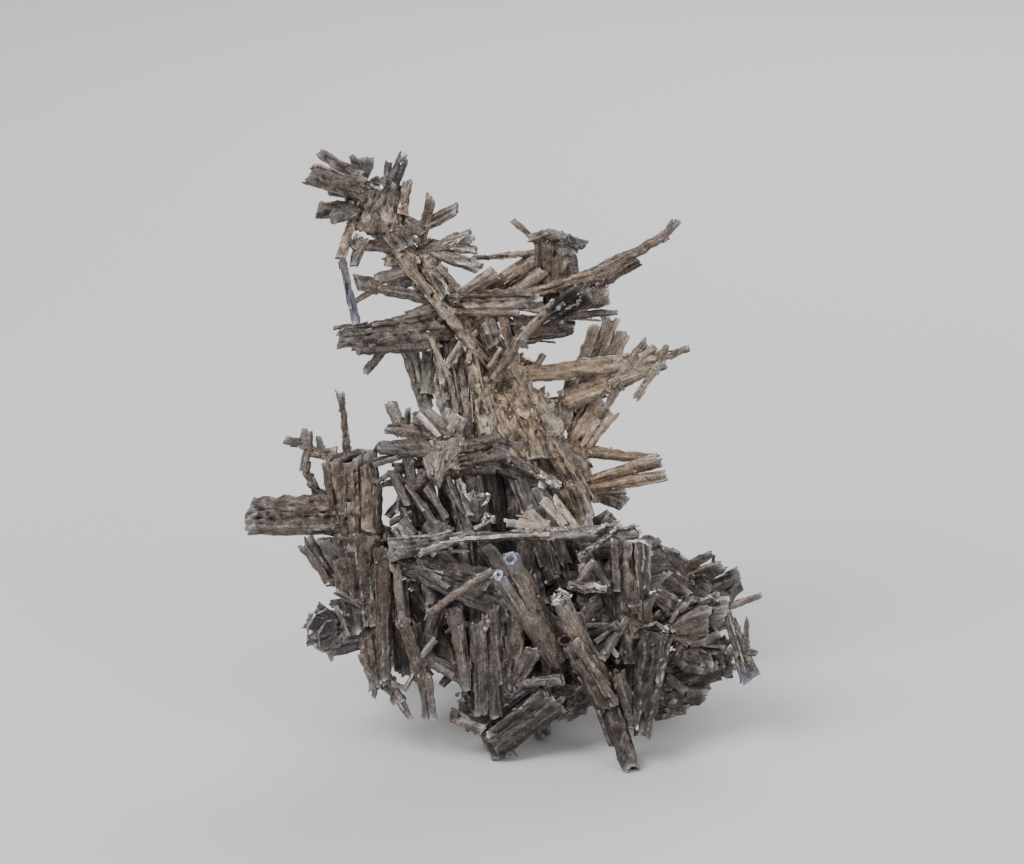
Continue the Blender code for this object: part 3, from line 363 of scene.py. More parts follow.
CROSS_BLADE = table("""
-20.5 38.5 9.6 -4.6 41.2 9.4 4.4 1.9 1.8 dark*3 grey rough
-6 40.9 9.4 9 41.1 11 1.5 1.6 1.4 dark*2
-6.4 40.9 8.8 -14.6 37.9 8.4 1.1 0.9 0.9 dark
7.4 41.4 11 17.6 41.8 13.5 2.2 2.2 1.8
9 42.2 11.4 1.2 43.2 11 1.6 1.1 1 light*2
9 42.6 12 3.8 44.9 12 2 2.4 1.1 10 tan light*2
15.6 41.8 13.4 22.2 42.4 15.4 2.2 1.7 1.9
20.6 41.6 14.4 14.4 37.1 11.6 1.2 1.1 1
11.6 42.8 12.6 7.9 47.6 16 1.5 1.9 1.1 10 tan light
14 42.4 13.4 9.9 48 16 1.2 1.3 1 tan light
15.2 42.2 13.4 16.6 44.9 13.4 1.1 0.9 0.9
-11.6 39.4 10.2 -9.8 42.8 13.4 4 3 1.8 15 dark
-16 39.8 10.4 -18.6 43.4 12.4 4.6 3.6 1.6 10 dark
thin
8.4 42.4 10.4 4 45.8 9.8 1.8 2.6 0.8 light*2 tan
8 42.2 10 3.2 43.6 9.4 1.6 1.8 0.8 light*3 tan
-9 40.5 8.4 0 41.1 8.6 0.6 0.7 0.7 light*3 tan bright
-1 41 8.6 9 41.5 10 0.7 0.7 0.7 light*3 tan bright
strand 0.3 light tan bright: -14.4 38.4 8.3, -11 39.8 8.2, -8.2 40.2 8.2, -5 40.8 8.3
strand 0.3 light: -20.4 40.4 8.6, -16.6 41 8.5, -13 41 8.5, -9 42.1 8.6
19.4 42 14 22 43.6 14 1 0.8 0.8
16.6 43 13 16 45 12.8 0.8 0.6 0.6
2 42 9 9 42.4 10 0.5 0.6 0.5 light beads
strand 0.8 beads: 9 41.8 10.2, 13 42.6 11.4, 16 41.8 12.4, 19 42.8 13.2, 22 42.2 14
14.4 37.4 11 20.4 41.4 13.6 0.8 0.8 0.6 beads
""")

# The last three thin blades, dark and smooth, are sheets behind the gaps: painted shade.
BASE = table("""
-14 24 20 34 22 24 12 9 8 10 core
-12 21 16 26 17.5 15 9 13 7 5 core
1 12 14 7 40 28 10 8 8 20 core
14 42 30 20 12 22 10 8 7 -10 core
0.2 34 11.4 0.6 12 11 8.4 6.4 2.4 5 rough
-4 25.2 8.4 -3.3 8.6 9.4 2.9 2.7 2 smooth
-1.2 28.2 8.4 -0.7 8 9.4 2 2.2 2
-8.4 28.2 9.6 -6 13 9.6 3 1.9 1.8 10
-14 19.4 11 -3.6 13.2 10.4 2.4 2.2 1.8
-18.9 35.8 11.2 -17.5 24.6 8.6 1.5 1.6 1.4
-17.8 26 8.6 -13.4 12.4 8.6 1.9 2.3 1.5
-13.6 16 8.8 -12.7 7.8 9 2.3 2.6 1.6 10
-12.6 27.2 7.8 -1.3 34.9 5 1.3 1.3 1 tan light
11.4 18 11.4 1.6 37.8 4.4 3.8 3 2.4 12 light tube
10 17.6 11.4 -0.2 34 4.4 2.9 2.1 2.2 -15 tube
17.8 14 10.6 10.9 30 4.6 5 2.9 2.4 8 light tan tube
20 9.4 8 12.9 21.8 6.2 4.4 3.6 2.4 -10 rough
-3.2 12.6 12 0.4 0.8 11.2 7.4 3.4 4.4 5 dark*2 rough
10.6 11.8 10.6 0.9 2 10.2 2.8 2 2 20 dark*2 rough
8.6 13 9.6 -2.2 4.7 9.8 2.4 2 1.8 10 dark*2 rough
-5.6 12.6 12 -5 5.2 11.4 5 2.6 3 dark*2
6 12 19 8.2 4.2 20 4.2 2.7 2.2 10
2.6 13.6 9.8 6.1 20.4 6.4 2.6 2.8 1.6 8
3 14.2 9.8 11.3 14.9 6 1.5 2 1.5
18 13.6 12 11.5 8.6 13 4.4 2.8 3.4 10 dark*2 crust
18.4 15 11 23.8 -1.4 6 3.6 2.9 2.8 10 dark*4 rough
17.6 13 9.6 20.6 3.4 9.6 2.8 1.7 2 dark*2
-19.2 35.8 12.6 -1.8 32.4 10.4 3.6 5.4 2.2 -8 rough
-15.4 36.6 12 -9.4 31.6 10.2 1.6 1.5 1.4
-13.2 34 13 -12.6 28.8 12.4 2.6 1.9 1.6
-16.4 31 17 -9 17.6 14.6 4.4 3.8 2.6 20
-10.6 29 14 -14.6 17 12.4 3.2 2.4 2 -20
23.6 18 12.4 22.5 40.3 11.4 4.4 3.3 3.8 10 dark rough
25.4 26 11.6 26 40.4 10.4 3 2.8 3 -20 dark*2
25.2 23 11.6 25.8 29.4 9.6 4 4.6 3 5 dark tan crust
28.6 23.4 9.6 25.6 5.2 7.4 5.8 3.8 3 6 dark*5 rough
21.4 16.2 9 24.6 6 8 2.8 2.2 2.2 -10 dark*2
23.2 26.4 10.6 18.4 18.6 8.8 1.9 1.8 1.6 15
14.8 38.6 15 22.4 25.4 13.2 2.2 2.8 1.8 10
19 30.4 14.4 13.6 24.4 12.6 2.4 1.8 1.5
22 31.5 12.2 12.6 32.2 8.8 1.7 1.4 1.4
17 31.4 11 14.6 36 12 2 1.4 1.2
5 33 20 6.4 47 22 5 4 3 20
10 33 18 3 51.8 24 3 3.4 2 -20
12 36 20 6.6 49.6 24 2.4 2.6 2 10
-3 26 20 -6 45 24 6 4.4 3.4 25
-6 30 18 -14 43 20 4 3 2.4 -10
-3.4 30 19.6 -1.5 41.4 16.6 3 2.8 2.2 10
1.6 35 27 -1.6 54 27 4.8 4.4 2.4 15 dark grey
-10 30 23 -17.6 47 23 3.6 2.4 2.2 10 dark
-8 33 24 -10.4 50.8 26 3.2 2.4 2 -15 dark
15 37 31 20.3 44.6 31 4 2.8 2.4 10
-12 24 22 -15 15.6 47 4.2 3.4 2.8 20
8 22 26 12 16.6 50 4.4 3.4 2.8 -20
28 20 24 33 12.6 39 4 3.2 2.8 15
-2 22 24 -1 26 53 5 3.2 2.6 30
14 30 28 18 38 53 4.6 3 2.4 -30
-6 34 24 -14 39.6 46 4 2.8 2.2 20
2 36 28 -2 49 45 4.2 2.6 2.2 -15
20 22 28 29 22 49 4.6 3.2 2.6 25
4 18 24 20 16.2 49 4.4 3.2 2.6 10
-16 34 30 10 19 40 4 3 2.4 10
22 35 34 0 22 41 3.8 2.8 2.2 -15
-8 20 36 7 40 42 3.4 2.6 2.2 20
-9 27 22 -21 24 40 4 2.6 2.2 25
7.4 33 39 -9 33.5 47 3 2.2 1.8 10
10 26 40 25 31 46 3.4 2.4 2 -20
-15.6 31 33 -7 45 37 3.2 2.4 2 10
14 24 34 12.6 43 44 3.2 2.4 2 -25
-1.6 36 21 -4.3 52.4 22 2.4 2 1.6 10 dark
-18.6 33 15.6 -17.8 16 14.8 3.4 3 1.8 5 dark
thin
24.6 20 13.4 24.2 14 13.4 2.4 2.4 1 dark*2 rough
-15.8 36 11.2 1.6 28.4 10.4 4.8 6.2 1.4 -8 dark*2 grey
14.4 32.4 9.4 17.1 36.7 9.8 1.4 1.2 0.8
-2.8 39 14.6 1.8 33 12.8 3 3 1.2
16.9 36.2 9.8 19.7 31.8 9.6 1.3 1.1 0.8
12.6 32.5 8.6 15.7 31 8.6 1.1 1 0.8
15.4 31.2 8.8 19.2 31.6 9.2 1 0.9 0.8
14.6 24.9 10.6 20.4 24.9 10.4 0.8 0.7 0.6
-11.8 22.4 9.4 -14.2 19.2 9.4 1.1 1 0.8
17.4 21.8 9.4 21.2 24.7 9.2 0.9 0.7 0.6
20.8 40 9.6 21.4 31 9.8 1.3 1.3 0.8 dark*2
8 49 24 12.4 43.6 24 1.2 1 0.8
-9 8.6 10 -2.8 6 9.6 2.4 2 1.2 dark crust
-5.6 6.6 10.2 2.6 12.9 9.8 2.8 2.8 1.2 dark*4
-0.6 1.8 9 11 10.4 8.6 2.4 3.2 1.2 dark*4
-2.4 3.8 9.4 9.4 12.6 8.8 2.8 3.4 1.2 dark*4
-4 5.6 9.8 7 13.9 9.2 2.8 3 1.2 dark*4 rough
10 8.4 12 15.2 10.2 12 2 1.8 1.2
-4.6 6.4 11.4 9 11.4 11.4 5.6 6.4 3.4 dark*2 crust
1.9 37 2.8 1.9 36 2.8 2.3 1 0.1 eye
-0.3 33.9 3.5 -0.3 33 3.5 1.8 0.3 0.2 eye
11 29.8 3.8 11 29 3.8 2.9 1.7 -0.25 tan eye
9.6 29.2 3.5 10.4 30.6 3.5 0.9 0.9 0.7 light beads
10.6 31.3 3.9 12.4 30.4 4.1 0.9 0.7 0.7 light beads
11.9 22.1 4.9 11.9 22 4.9 2.7 1.9 -0.3 dark tan eye
strand 0.6 beads: 9.4 28.7 3.6, 10.6 29.2 3.5, 12 30.2 3.7, 13 30.2 4
strand 0.7 beads: 12.6 32.3 7.8, 15 31.6 8, 17 32.2 8.2, 19.4 31.4 8.4
strand 0.5 steel beads: 24.8 39.8 8.8, 26 40.2 8.7, 27.2 39 8.7, 27.4 37.4 8.8
strand 0.2 light*2: 24.8 39.8 7.6, 25 37.8 7.8, 24.8 35.4 8, 25.2 32 8.4
strand 0.2 light*3: 26 39.6 7.6, 26.2 37 7.8, 25.9 34.6 8.2
strand 0.2 light: 27 38.8 7.8, 27.3 36.8 8, 27 34.8 8.2, 27.2 33.4 8.4
20.4 41.4 12.4 25.2 41.6 12 2.2 2.4 1.4 rough
strand 0.5 beads: 20.2 41.6 11.4, 21.6 42.8 11.4, 23 42.4 11.2, 24.4 43 11, 25.6 41.4 10.8
15.6 42.4 32 20.4 45 31 2.8 2.6 1.6 grey smooth
strand 0.4 crust: 23.6 22.6 7.4, 24.6 24.2 7.2, 26.4 24.6 7.2, 28.2 25.4 7.2, 30.6 23.6 7.4
6 12 12.6 16.4 11.4 12.8 5 5.4 1.6 dark*3 rough
10.6 38 20 11.6 33.6 20 2.6 2.6 1 dark*2 smooth
6 34 17 7.4 29 17 2.6 2.6 1 dark*2 smooth
-15.4 25 13.4 -14.6 19 13.4 2.4 2.4 1 dark*2 smooth
""")

RIGHT_BLOCK = table("""
30 24.6 17 40.6 26.4 17 7 7.4 6 8 crust
29.5 15 17 40.6 18.6 18 9 5.6 6.4 -6 dark rough
28.6 11.6 16.4 37 12.8 18 6 3.2 5 10 dark rough
30 25 14.6 34.8 29.8 14.4 2.2 2 1.8 dark crust
33 27 15 40 29.8 15 2.4 1.8 2.2 10 dark crust
38.6 27.6 16 42.4 24.4 14.6 2.6 2 1.8
33 26.6 16.4 27.8 30.4 16 4.4 3 3 crust
32 23 16.4 28.2 27.2 16 3 2.8 3 10
37.6 22.4 17 42.4 20.8 16.4 2.6 2.2 2
41.2 27.6 15 45.6 15.2 13 1.4 3.6 1.6 8 light*2
44.8 19.2 14 44.9 26.2 14 1.8 0.6 0.8 light*2
40 27.6 16.2 47.6 30.3 16 1.2 1 1 light*2 tan
40.4 19 17.4 41.4 15.4 16 2.4 1.8 1.6
32 20.4 13.6 38.6 18.4 13.4 3.4 2.8 1.8 -10 crust
34 20 20 37 19 35 4.4 3.2 2.6 30
36 26 19 40 28 32 3.8 2.8 2.2 -20
thin
31 23.2 13.4 38.4 25.8 13.4 4.4 6.2 1
strand 0.5 light rough: 31 25.4 12.6, 32.4 27.6 12.4, 34 28.6 12.4, 35 30 12.4, 36.6 29.4 12.5
strand 0.3 dark*2 beads: 36.6 29.4 12.5, 38 30.2 12.6, 39.4 29.4 12.7, 40.6 29.8 12.9
strand 0.6 beads: 28.4 25 11.8, 29.6 24 11.6, 30.8 24.6 11.6, 31.6 23.6 11.8
strand 1.4: 31.6 22.6 13, 34.6 21.4 12.6, 37.4 21.8 12.8, 39.8 23.4 13.6
strand 1.5 dark: 31.4 19.6 13, 33.6 17.2 12.6, 36.8 16.6 13, 39.6 17.8 13.8
strand 1.6 dark: 30.4 15.4 13.4, 33.8 12.8 13.4, 37.6 12.8 14.4
33 21.6 12.6 41 20.8 13 0.5 0.5 0.5 tan light
28 8.4 16 34.4 10 16 2.2 1.8 1.4
32.6 10.6 16.4 38.2 14.2 17 1.8 1.5 1.4
41.4 20.4 13 43.2 19.4 12.6 1.6 1.2 1
44.9 18 12.4 45.7 15 12 2.9 3.2 0.9 8 dark tube
strand 0.2 light*4: 41.6 26.6 14, 42.8 23 13.2, 44 19.2 12.4, 44.6 16 11.8
strand 0.2 light*3: 43 24 13.6, 44.8 19.4 12.6, 46 16 12
45 20 13 46.8 19.8 13 1.2 1 0.9
27.6 31.6 11.6 31.2 34.6 11.4 0.9 0.7 0.6
29.6 33 30 33.6 30 30 3.4 3 1.4 dark rough
27.4 29.6 18 28.8 26 18 3 3 1 dark*2 rough
""")

BACK_SPRAY = table("""
18 35 36 30 36.5 45 7 6 5 10
24 36.8 40 28 40.7 43 4 2.8 2.4 10
28 36.8 44 38 30.4 46 6.4 6.4 4.4 -10
32 34.4 44 38.5 37.9 42 1.9 1.5 1.3
34 32.8 44 40.4 35.9 42 3 2.4 1.5 10
36 30.8 45 43.4 34.6 44 1.8 1.3 1.2
39 29.4 46.4 43.7 33.5 47.4 4.8 4.4 1.8 10
30 36 44.6 32 38.6 43.4 2.8 1.9 1.8
23 30.5 36 30.6 33.8 38 3.4 1.3 1.6
29 34 45 30 38 56 4.6 3 2.4 20
34 32 46 37 30 56 4.4 3 2.4 -20
""")


# ---------------------------------------------------------------- shapes

# What the material needs to know at each vertex. The second fact paints both worn silver and painted
# highlights.
FACTS = ("relief", "wear_and_glint", "tone", "warm", "blue")
RELIEF, WEAR_AND_GLINT, TONE, WARM, BLUE = range(len(FACTS))
HOLE_SHADE_RELIEF = -2.5  # the relief that paints a hole dark, as painted shade
GRAIN_SPAN = 900  # how far apart the material's noise is taken for two blades, at most
EYE_SIDES = 22

# A blade's faces: the heights in mm of its lumps, ripples and grit, the lumps' length and breadth, the
# square mm to each pit, and its count of ribs beside a plain blade's.
Skin = namedtuple("Skin", "lump ripple grit long broad pit_area ribs")
PLAIN = Skin(0.06, 0.05, 0.04, 1.5, 0.5, 18, 1)
CRUSTY = Skin(0.16, 0.15, 0.09, 1.5, 1.3, 9, 0)
ROUGH = Skin(0.15, 0.11, 0.06, 2.0, 0.8, 9, 0.6)
SKINS = {"crust": CRUSTY, "beads": CRUSTY, "rough": ROUGH, "smooth": PLAIN._replace(ribs=0)}
COLUMN_PITCH, ROW_PITCH = 0.24, 0.48  # mm between a blade's vertices, across it and along it
WAVE = 1.2  # mm from bend to bend of a ragged edge
GROOVE, CRACK, GLINT, PIT, PIT_LONG = 0.14, 0.12, 0.09, 0.26, 0.4  # mm that each is wide
END_SLANT = 0.22  # how far a broken end slants, as a share of its width


def standing(point):
    """A portrait point (right, up, back) in mm, where it is on the standing specimen in mm."""
    right, up, back = point
    spread = 1 + (back - SIGHT_DEPTH) / SIGHT_DISTANCE
    right = SIGHT_AXIS[0] + (right - SIGHT_AXIS[0]) * spread
    up = SIGHT_AXIS[1] + (up - SIGHT_AXIS[1]) * spread
    back = back - FLOOR_BACK
    sine, cosine = math.sin(REST_LEAN), math.cos(REST_LEAN)
    return np.array((right - ORIGIN[0], up * sine + back * cosine - ORIGIN[1], up * cosine - back * sine))


SIGHT = np.array((0, math.cos(REST_LEAN), -math.sin(REST_LEAN)))
PICTURE_UP = np.array((0, math.sin(REST_LEAN), math.cos(REST_LEAN)))
RIGHT = np.array((1.0, 0, 0))


def unit(vector):
    return vector / np.linalg.norm(vector)


def sides_of(axis, turn):
    """A blade's directions across its broad face and through it, turned about its axis."""
    across = np.cross(axis, SIGHT)
    if np.linalg.norm(across) < 0.2:
        across = np.cross(axis, (0, 0, 1.0))
    across = unit(across)
    across = across * math.cos(turn) + np.cross(axis, across) * math.sin(turn)
    return across, unit(np.cross(across, axis))


def bell(distance, width):
    return np.exp(-((distance / width) ** 2))


def smooth_noise(chance, count, knots):
    """A gentle random curve with the given number of knots, sampled at count points."""
    return np.interp(np.linspace(0, knots, count), np.arange(knots + 1), chance.normal(0, 1, knots + 1))


def field(chance, shape, cells):
    """Gentle random relief: a coarse grid of random heights, stretched over a finer one."""
    cells = (max(2, int(cells[0])), max(2, int(cells[1])))
    coarse = chance.normal(0, 1, (cells[0] + 1, cells[1] + 1))
    rows, columns = np.linspace(0, cells[0], shape[0]), np.linspace(0, cells[1], shape[1])
    tall = np.stack([np.interp(rows, np.arange(cells[0] + 1), line) for line in coarse.T], axis=1)
    return np.stack([np.interp(columns, np.arange(cells[1] + 1), line) for line in tall])


def walls(low, high):
    """The faces between loops of vertices and the next ones."""
    return np.stack((low, np.roll(low, -1, 1), np.roll(high, -1, 1), high), axis=2).reshape(-1, 4)


class Growth:
    """Collects blades as one mesh, with what the material needs to know at each vertex."""

    def __init__(self):
        self.points, self.faces, self.facts, self.grain = [], [], [], []
        self.count = 0

    def add(self, points, faces, facts, grain):
        """The facts are those of FACTS; the grain is across, along and a random number."""
        self.points.append(points)
        for group in faces:
            self.faces += (group + self.count).tolist()
        self.facts.append(facts)
        self.grain.append(grain)
        self.count += len(points)

    def piece(self, name, material):
        """The collected blades as one object, kept inside the solids' own box."""
        points = np.concatenate(self.points) * MM
        low, high = (np.array(corner) for corner in CAD_BOX)
        points = np.clip(points, low + BOX_MARGIN, high - BOX_MARGIN)
        mesh = bpy.data.meshes.new(name)
        mesh.from_pydata(points.tolist(), [], self.faces)
        mesh.shade_smooth()
        mesh.set_sharp_from_angle(angle=math.radians(40))
        facts = np.concatenate(self.facts)
        for i, fact in enumerate(FACTS):
            layer = mesh.attributes.new(fact, "FLOAT", "POINT")
            layer.data.foreach_set("value", np.ascontiguousarray(facts[:, i]))
        layer = mesh.attributes.new("grain", "FLOAT_VECTOR", "POINT")
        layer.data.foreach_set("vector", np.concatenate(self.grain).ravel())
        obj = bpy.data.objects.new(name, mesh)
        bpy.context.scene.collection.objects.link(obj)
        mesh.materials.append(material)
        return obj


def carved(chance, along, side, off_line, length, area, ribs, cracks):
    """A blade's parallel ribs, the grooves and short cracks between them, and the cracks' glints."""
    rib = np.zeros(along.shape, int)
    groove, glint = np.zeros(rib.shape), np.zeros(rib.shape)
    for cut in np.sort(chance.uniform(-0.85, 0.85, ribs - 1)):
        line = cut + chance.normal(0, 0.12) * (along - 0.5)
        line = line + 0.02 * smooth_noise(chance, len(rib), 4)[:, None]
        rib += side > line
        groove += chance.uniform(0.0, 0.35) * bell(off_line(line), GROOVE)
    for _ in range(chance.poisson(area / 9) if cracks else 0):
        line = chance.uniform(-0.95, 0.95) + chance.normal(0, 0.12) * (along - 0.5)
        here = bell((along - chance.random()) * length, chance.uniform(1.5, 5))
        raised = chance.random() < 0.75
        groove += (-0.4 if raised else 0.9) * here * bell(off_line(line), CRACK)
        if raised:
            spots = np.clip(0.3 + chance.normal(0, 0.6, len(rib)), 0, 1.5)[:, None]
            glint += chance.uniform(0.2, 1.4) * here * bell(off_line(line), GLINT) * spots
    return rib, groove, glint


def broken(chance, along, side, rib, ribs, width, length):
    """How far each point is moved along its blade, so that the ends slant and break rib by rib."""
    reach = min(1.4, 0.4 * width + 0.1, 0.2 * length)
    jag = chance.choice((0.2, 0.6, 1.2), p=(0.35, 0.4, 0.25))
    ends = []
    for _ in range(2):
        end = chance.uniform(-1, 0.1, ribs) * reach * jag
        end[chance.integers(ribs)] = 0.05
        ends.append(end)
    ramp = min(0.4, 1.4 / length)
    at_tip = np.clip((along - 1 + ramp) / ramp, 0, 1)
    pull = at_tip**2 * ends[1][rib] - np.clip((ramp - along) / ramp, 0, 1) ** 2 * ends[0][rib]
    pull += chance.normal(0, 0.04, rib.shape) + (along > 0.99) * chance.normal(0, 0.10, rib.shape)
    slants = chance.uniform(-END_SLANT, END_SLANT, 2) * width
    return pull + side * (slants[0] * np.clip(1 - along / ramp, 0, 1) + slants[1] * at_tip)


def faces_of(wall, around, columns):
    """The faces of a blade's wall, whose vertices come first, and of the sunken caps that close it."""
    first, last = wall + np.arange(around), wall + around + np.arange(around)
    loops = np.concatenate((first[None], np.arange(wall).reshape(-1, around), last[None]))
    faces = [walls(loops[:-1], loops[1:])]
    for cap, order in ((first, 1), (last, -1)):
        top, bottom = cap[:columns], cap[columns + 1 : 2 * columns + 1][::-1]
        strip = np.stack((top[:-1], bottom[:-1], bottom[1:], top[1:]), axis=1)
        corners = np.array(((top[-1], bottom[-1], cap[columns]), (bottom[0], top[0], cap[-1])))
        faces += [strip[:, ::order], corners[:, ::order]]
    return faces


def lath(growth, root, tip, widths, thickness, turn, chance, tint, shape="", fine=1.0):
    """One blade: a flat bar of parallel ribs with fine relief, cracks, pits and uneven ends."""
    length = np.linalg.norm(tip - root)
    axis = (tip - root) / length
    across, through = sides_of(axis, turn)
    width = (widths[0] + widths[1]) / 2
    crusty, tube, skin = shape in ("crust", "beads"), shape == "tube", SKINS.get(shape, PLAIN)
    columns = int(np.clip(round(width / (COLUMN_PITCH * fine)), 3, 30))
    rows = int(np.clip(round(length / (ROW_PITCH * fine)), 4, 48))
    ribs = max(1, int(round(width**0.8 * skin.ribs)))
    a, s = np.linspace(-1, 1, columns), np.linspace(0, 1, rows)
    along, side = np.meshgrid(s, a, indexing="ij")
    half = (widths[0] + (widths[1] - widths[0]) * s) / 2
    if shape == "disc":
        half = half * np.sqrt(1 - 0.97 * (2 * s - 1) ** 2)
    waves = max(2, int(length / WAVE))
    ragged = 0.03 * width + 0.12 if crusty else 0.024 * width + 0.045
    wide = [half + ragged * smooth_noise(chance, rows, waves) for _ in range(2)]
    reach = np.where(side > 0, side * wide[0][:, None], side * wide[1][:, None])

    def off_line(line):
        return (side - line) * half[:, None]

    area = length * width
    rib, groove, glint = carved(chance, along, side, off_line, length, area, ribs, not crusty)
    pull = broken(chance, along, side, rib, ribs, width, length)
    bow = chance.normal(0, 0.006 * length, 2)
    line = root + np.outer(s * length, axis)
    line = line + np.outer(np.sin(np.pi * s), bow[0] * across + bow[1] * through)
    line = line + np.outer(0.03 * smooth_noise(chance, rows, waves), through)

    # its two faces, with lumps, ripples, grit and pits
    step, deep = min(0.16, 0.06 * thickness + 0.01 * width), min(0.26, 0.25 * thickness)
    swell = thickness / 2 * (np.sqrt(1 - 0.8 * side**2) if tube else 1 - 0.5 * np.abs(side) ** 3.5)
    surfaces, reliefs = [], []
    for face in (1, -1):
        relief = step * chance.uniform(-1, 0.5, ribs)[rib] - deep * np.clip(groove, -0.8, 1.2)
        relief = relief + skin.lump * field(chance, rib.shape, (length / skin.long, width / skin.broad))
        relief = relief + skin.ripple * field(chance, rib.shape, (length / 0.7, width / 0.6))
        relief = relief + skin.grit * chance.normal(0, 1, rib.shape)
        relief = relief + 0.03 * chance.normal(0, 1, columns)[None, :]
        for _ in range(chance.poisson(area / skin.pit_area)):
            dx, dy = off_line(chance.uniform(-0.8, 0.8)), (along - chance.random()) * length
            relief = relief - 0.4 * np.exp(-((dx / PIT) ** 2) - (dy / PIT_LONG) ** 2)
        depth = face * np.maximum(swell + relief, 0.12 * thickness)
        surface = line[:, None, :] + reach[..., None] * across + depth[..., None] * through
        surfaces.append(surface + pull[..., None] * axis)
        reliefs.append(relief)
        # the crests of a bead's crinkles are painted bright: painted highlights
        if shape == "beads":
            glint = np.clip(glint + relief / 0.07, 0, 3)

    # rings of vertices around it, row by row, then a sunken cap for each end; a tube has a deep one
    front, back = surfaces
    edge = []
    for column, sign in ((-1, 1), (0, -1)):
        bulge = sign * (0.04 + 0.07 * chance.normal(0, 1, rows))
        edge.append((front[:, column] + back[:, column]) / 2 + bulge[:, None] * across)
    ring = np.concatenate((front, edge[0][:, None], back[:, ::-1], edge[1][:, None]), axis=1)
    around = ring.shape[1]
    if tube:
        rim_face = line[-1] + (ring[-1] - line[-1]) * 0.5 + 0.1 * axis
        ring = np.concatenate((ring, rim_face[None]))
    wall = len(ring) * around
    caps = []
    for row, sign in ((0, 1), (-1, -1)):
        cap = line[row] + (ring[row] - line[row]) * (0.8 if tube else 0.74)
        straight = np.outer((cap - line[row]) @ axis, axis)
        caps.append(cap - straight * 0.2 + sign * (1.5 if tube else 0.2) * axis)
    points = np.concatenate((ring.reshape(-1, 3), *caps))

    # what the material needs to know, on the wall and then on the caps
    place = np.concatenate((a, [1.0], a[::-1], [-1.0]))
    rim = np.full((rows, 1), 0.05)
    relief = np.concatenate((reliefs[0], rim, reliefs[1][:, ::-1], rim), axis=1)
    to_end, to_tip = np.minimum(1 - s, s) * length, (1 - s) * length
    # the ends are painted brighter, as worn silver and painted highlight; a blade whose look ends in bright
    # is painted highlight all along
    wear_and_glint = 0.5 * np.exp(-to_tip / 0.6) + 0.2 * np.exp(-to_end / 0.6) + 1.3 * (shape == "bright")
    # the edge strips, and the outer columns of each face, are painted brighter: worn silver and painted
    # highlight
    edge_wear_and_glint = np.clip(0.2 + 0.6 * smooth_noise(chance, rows, max(2, int(2 * length))), 0, 1.6)
    shine = np.concatenate((glint, edge_wear_and_glint[:, None], glint[:, ::-1], edge_wear_and_glint[:, None]), axis=1)
    seen = rows * around
    facts = np.zeros((len(points), len(FACTS)))
    facts[seen:, (RELIEF, WEAR_AND_GLINT)] = -0.3, 0.4
    facts[:seen, RELIEF] = (relief / 0.25).ravel()
    facts[:seen, WEAR_AND_GLINT] = (wear_and_glint[:, None] + shine + 0.2 * np.abs(place[None, :]) ** 8).ravel()
    facts[:, TONE:] = tint
    facts[:seen, WARM] -= (0.5 * np.exp(-to_tip / 2.5)).repeat(around)
    if tube:
        facts[:seen, BLUE] += 0.3 * bell(to_tip, 2.5).repeat(around)
        # the inside of a tube's open end is painted dark, as painted shade
        facts[wall:, (RELIEF, WEAR_AND_GLINT)] = HOLE_SHADE_RELIEF, 0.0
    grain = np.zeros((len(points), 3))
    grain[:seen, 0] = (place[None, :] * half[:, None]).ravel()
    grain[:seen, 1] = (s * length).repeat(around)
    grain[wall:, 0] = np.tile(place * width / 2, 2)
    grain[:, 2] = chance.uniform(0, GRAIN_SPAN)
    growth.add(points, faces_of(wall, around, columns), facts, grain)


def ball(rings, around):
    """A unit ball's points, with its two poles last, and its faces."""
    lift = np.linspace(-1, 1, rings + 2)[1:-1] * math.pi / 2
    turn = np.arange(around) * 2 * math.pi / around
    flat = np.cos(lift)[:, None]
    side = np.stack((flat * np.cos(turn), flat * np.sin(turn), np.sin(lift)[:, None] + 0 * turn), axis=2)
    points = np.concatenate((side.reshape(-1, 3), ((0, 0, -1.0), (0, 0, 1.0))))
    index = np.arange(rings * around).reshape(rings, around)
    poles = []
    for row, pole, order in ((index[0], rings * around, -1), (index[-1], rings * around + 1, 1)):
        fan = np.stack((row, np.roll(row, -1), np.full(around, pole)), axis=1)
        poles.append(fan[:, ::order])
    return points, [walls(index[:-1], index[1:])] + poles


BALL = ball(4, 6)


def nugget(growth, centre, directions, sizes, chance, tint, wear_and_glint=0.3):
    """A rough grain of silver: a lumpy ball with its own size along each of three directions."""
    points, faces = BALL
    lumps = 1 + chance.normal(0, 0.28, len(points))
    shaped = points * lumps[:, None] * sizes
    facts = np.zeros((len(points), len(FACTS)))
    facts[:, RELIEF] = 2.0 * (lumps - 1) + 0.3
    # how bright the grain is painted: worn silver and painted glint
    facts[:, WEAR_AND_GLINT] = wear_and_glint
    facts[:, TONE:] = tint
    grain = points * sizes.mean()
    grain[:, 2] += chance.uniform(0, GRAIN_SPAN)
    growth.add(centre + shaped @ np.array(directions), faces, facts, grain)


def ends_of(spec):
    """Where a blade's root and tip are on the standing specimen, and its three directions there."""
    root, tip = standing(spec.root), standing(spec.tip)
    axis = unit(tip - root)
    return root, tip, (axis, *sides_of(axis, spec.turn))


def along_blade(spec, chance):
    """A point on a blade's line, with its place along it and its width and directions there."""
    root, tip, directions = ends_of(spec)
    s = chance.uniform(0.04, 0.8)
    width = spec.widths[0] + (spec.widths[1] - spec.widths[0]) * s
    return root + (tip - root) * s, s, width, *directions


def inside(spec, chance):
    """A point anywhere inside a blade, and its directions."""
    point, _, width, axis, across, through = along_blade(spec, chance)
    point = point + across * chance.uniform(-0.5, 0.5) * width
    return point + through * chance.uniform(-0.5, 0.5) * spec.thickness, axis, across, through


def length_of(spec):
    return np.linalg.norm(standing(spec.tip) - standing(spec.root))


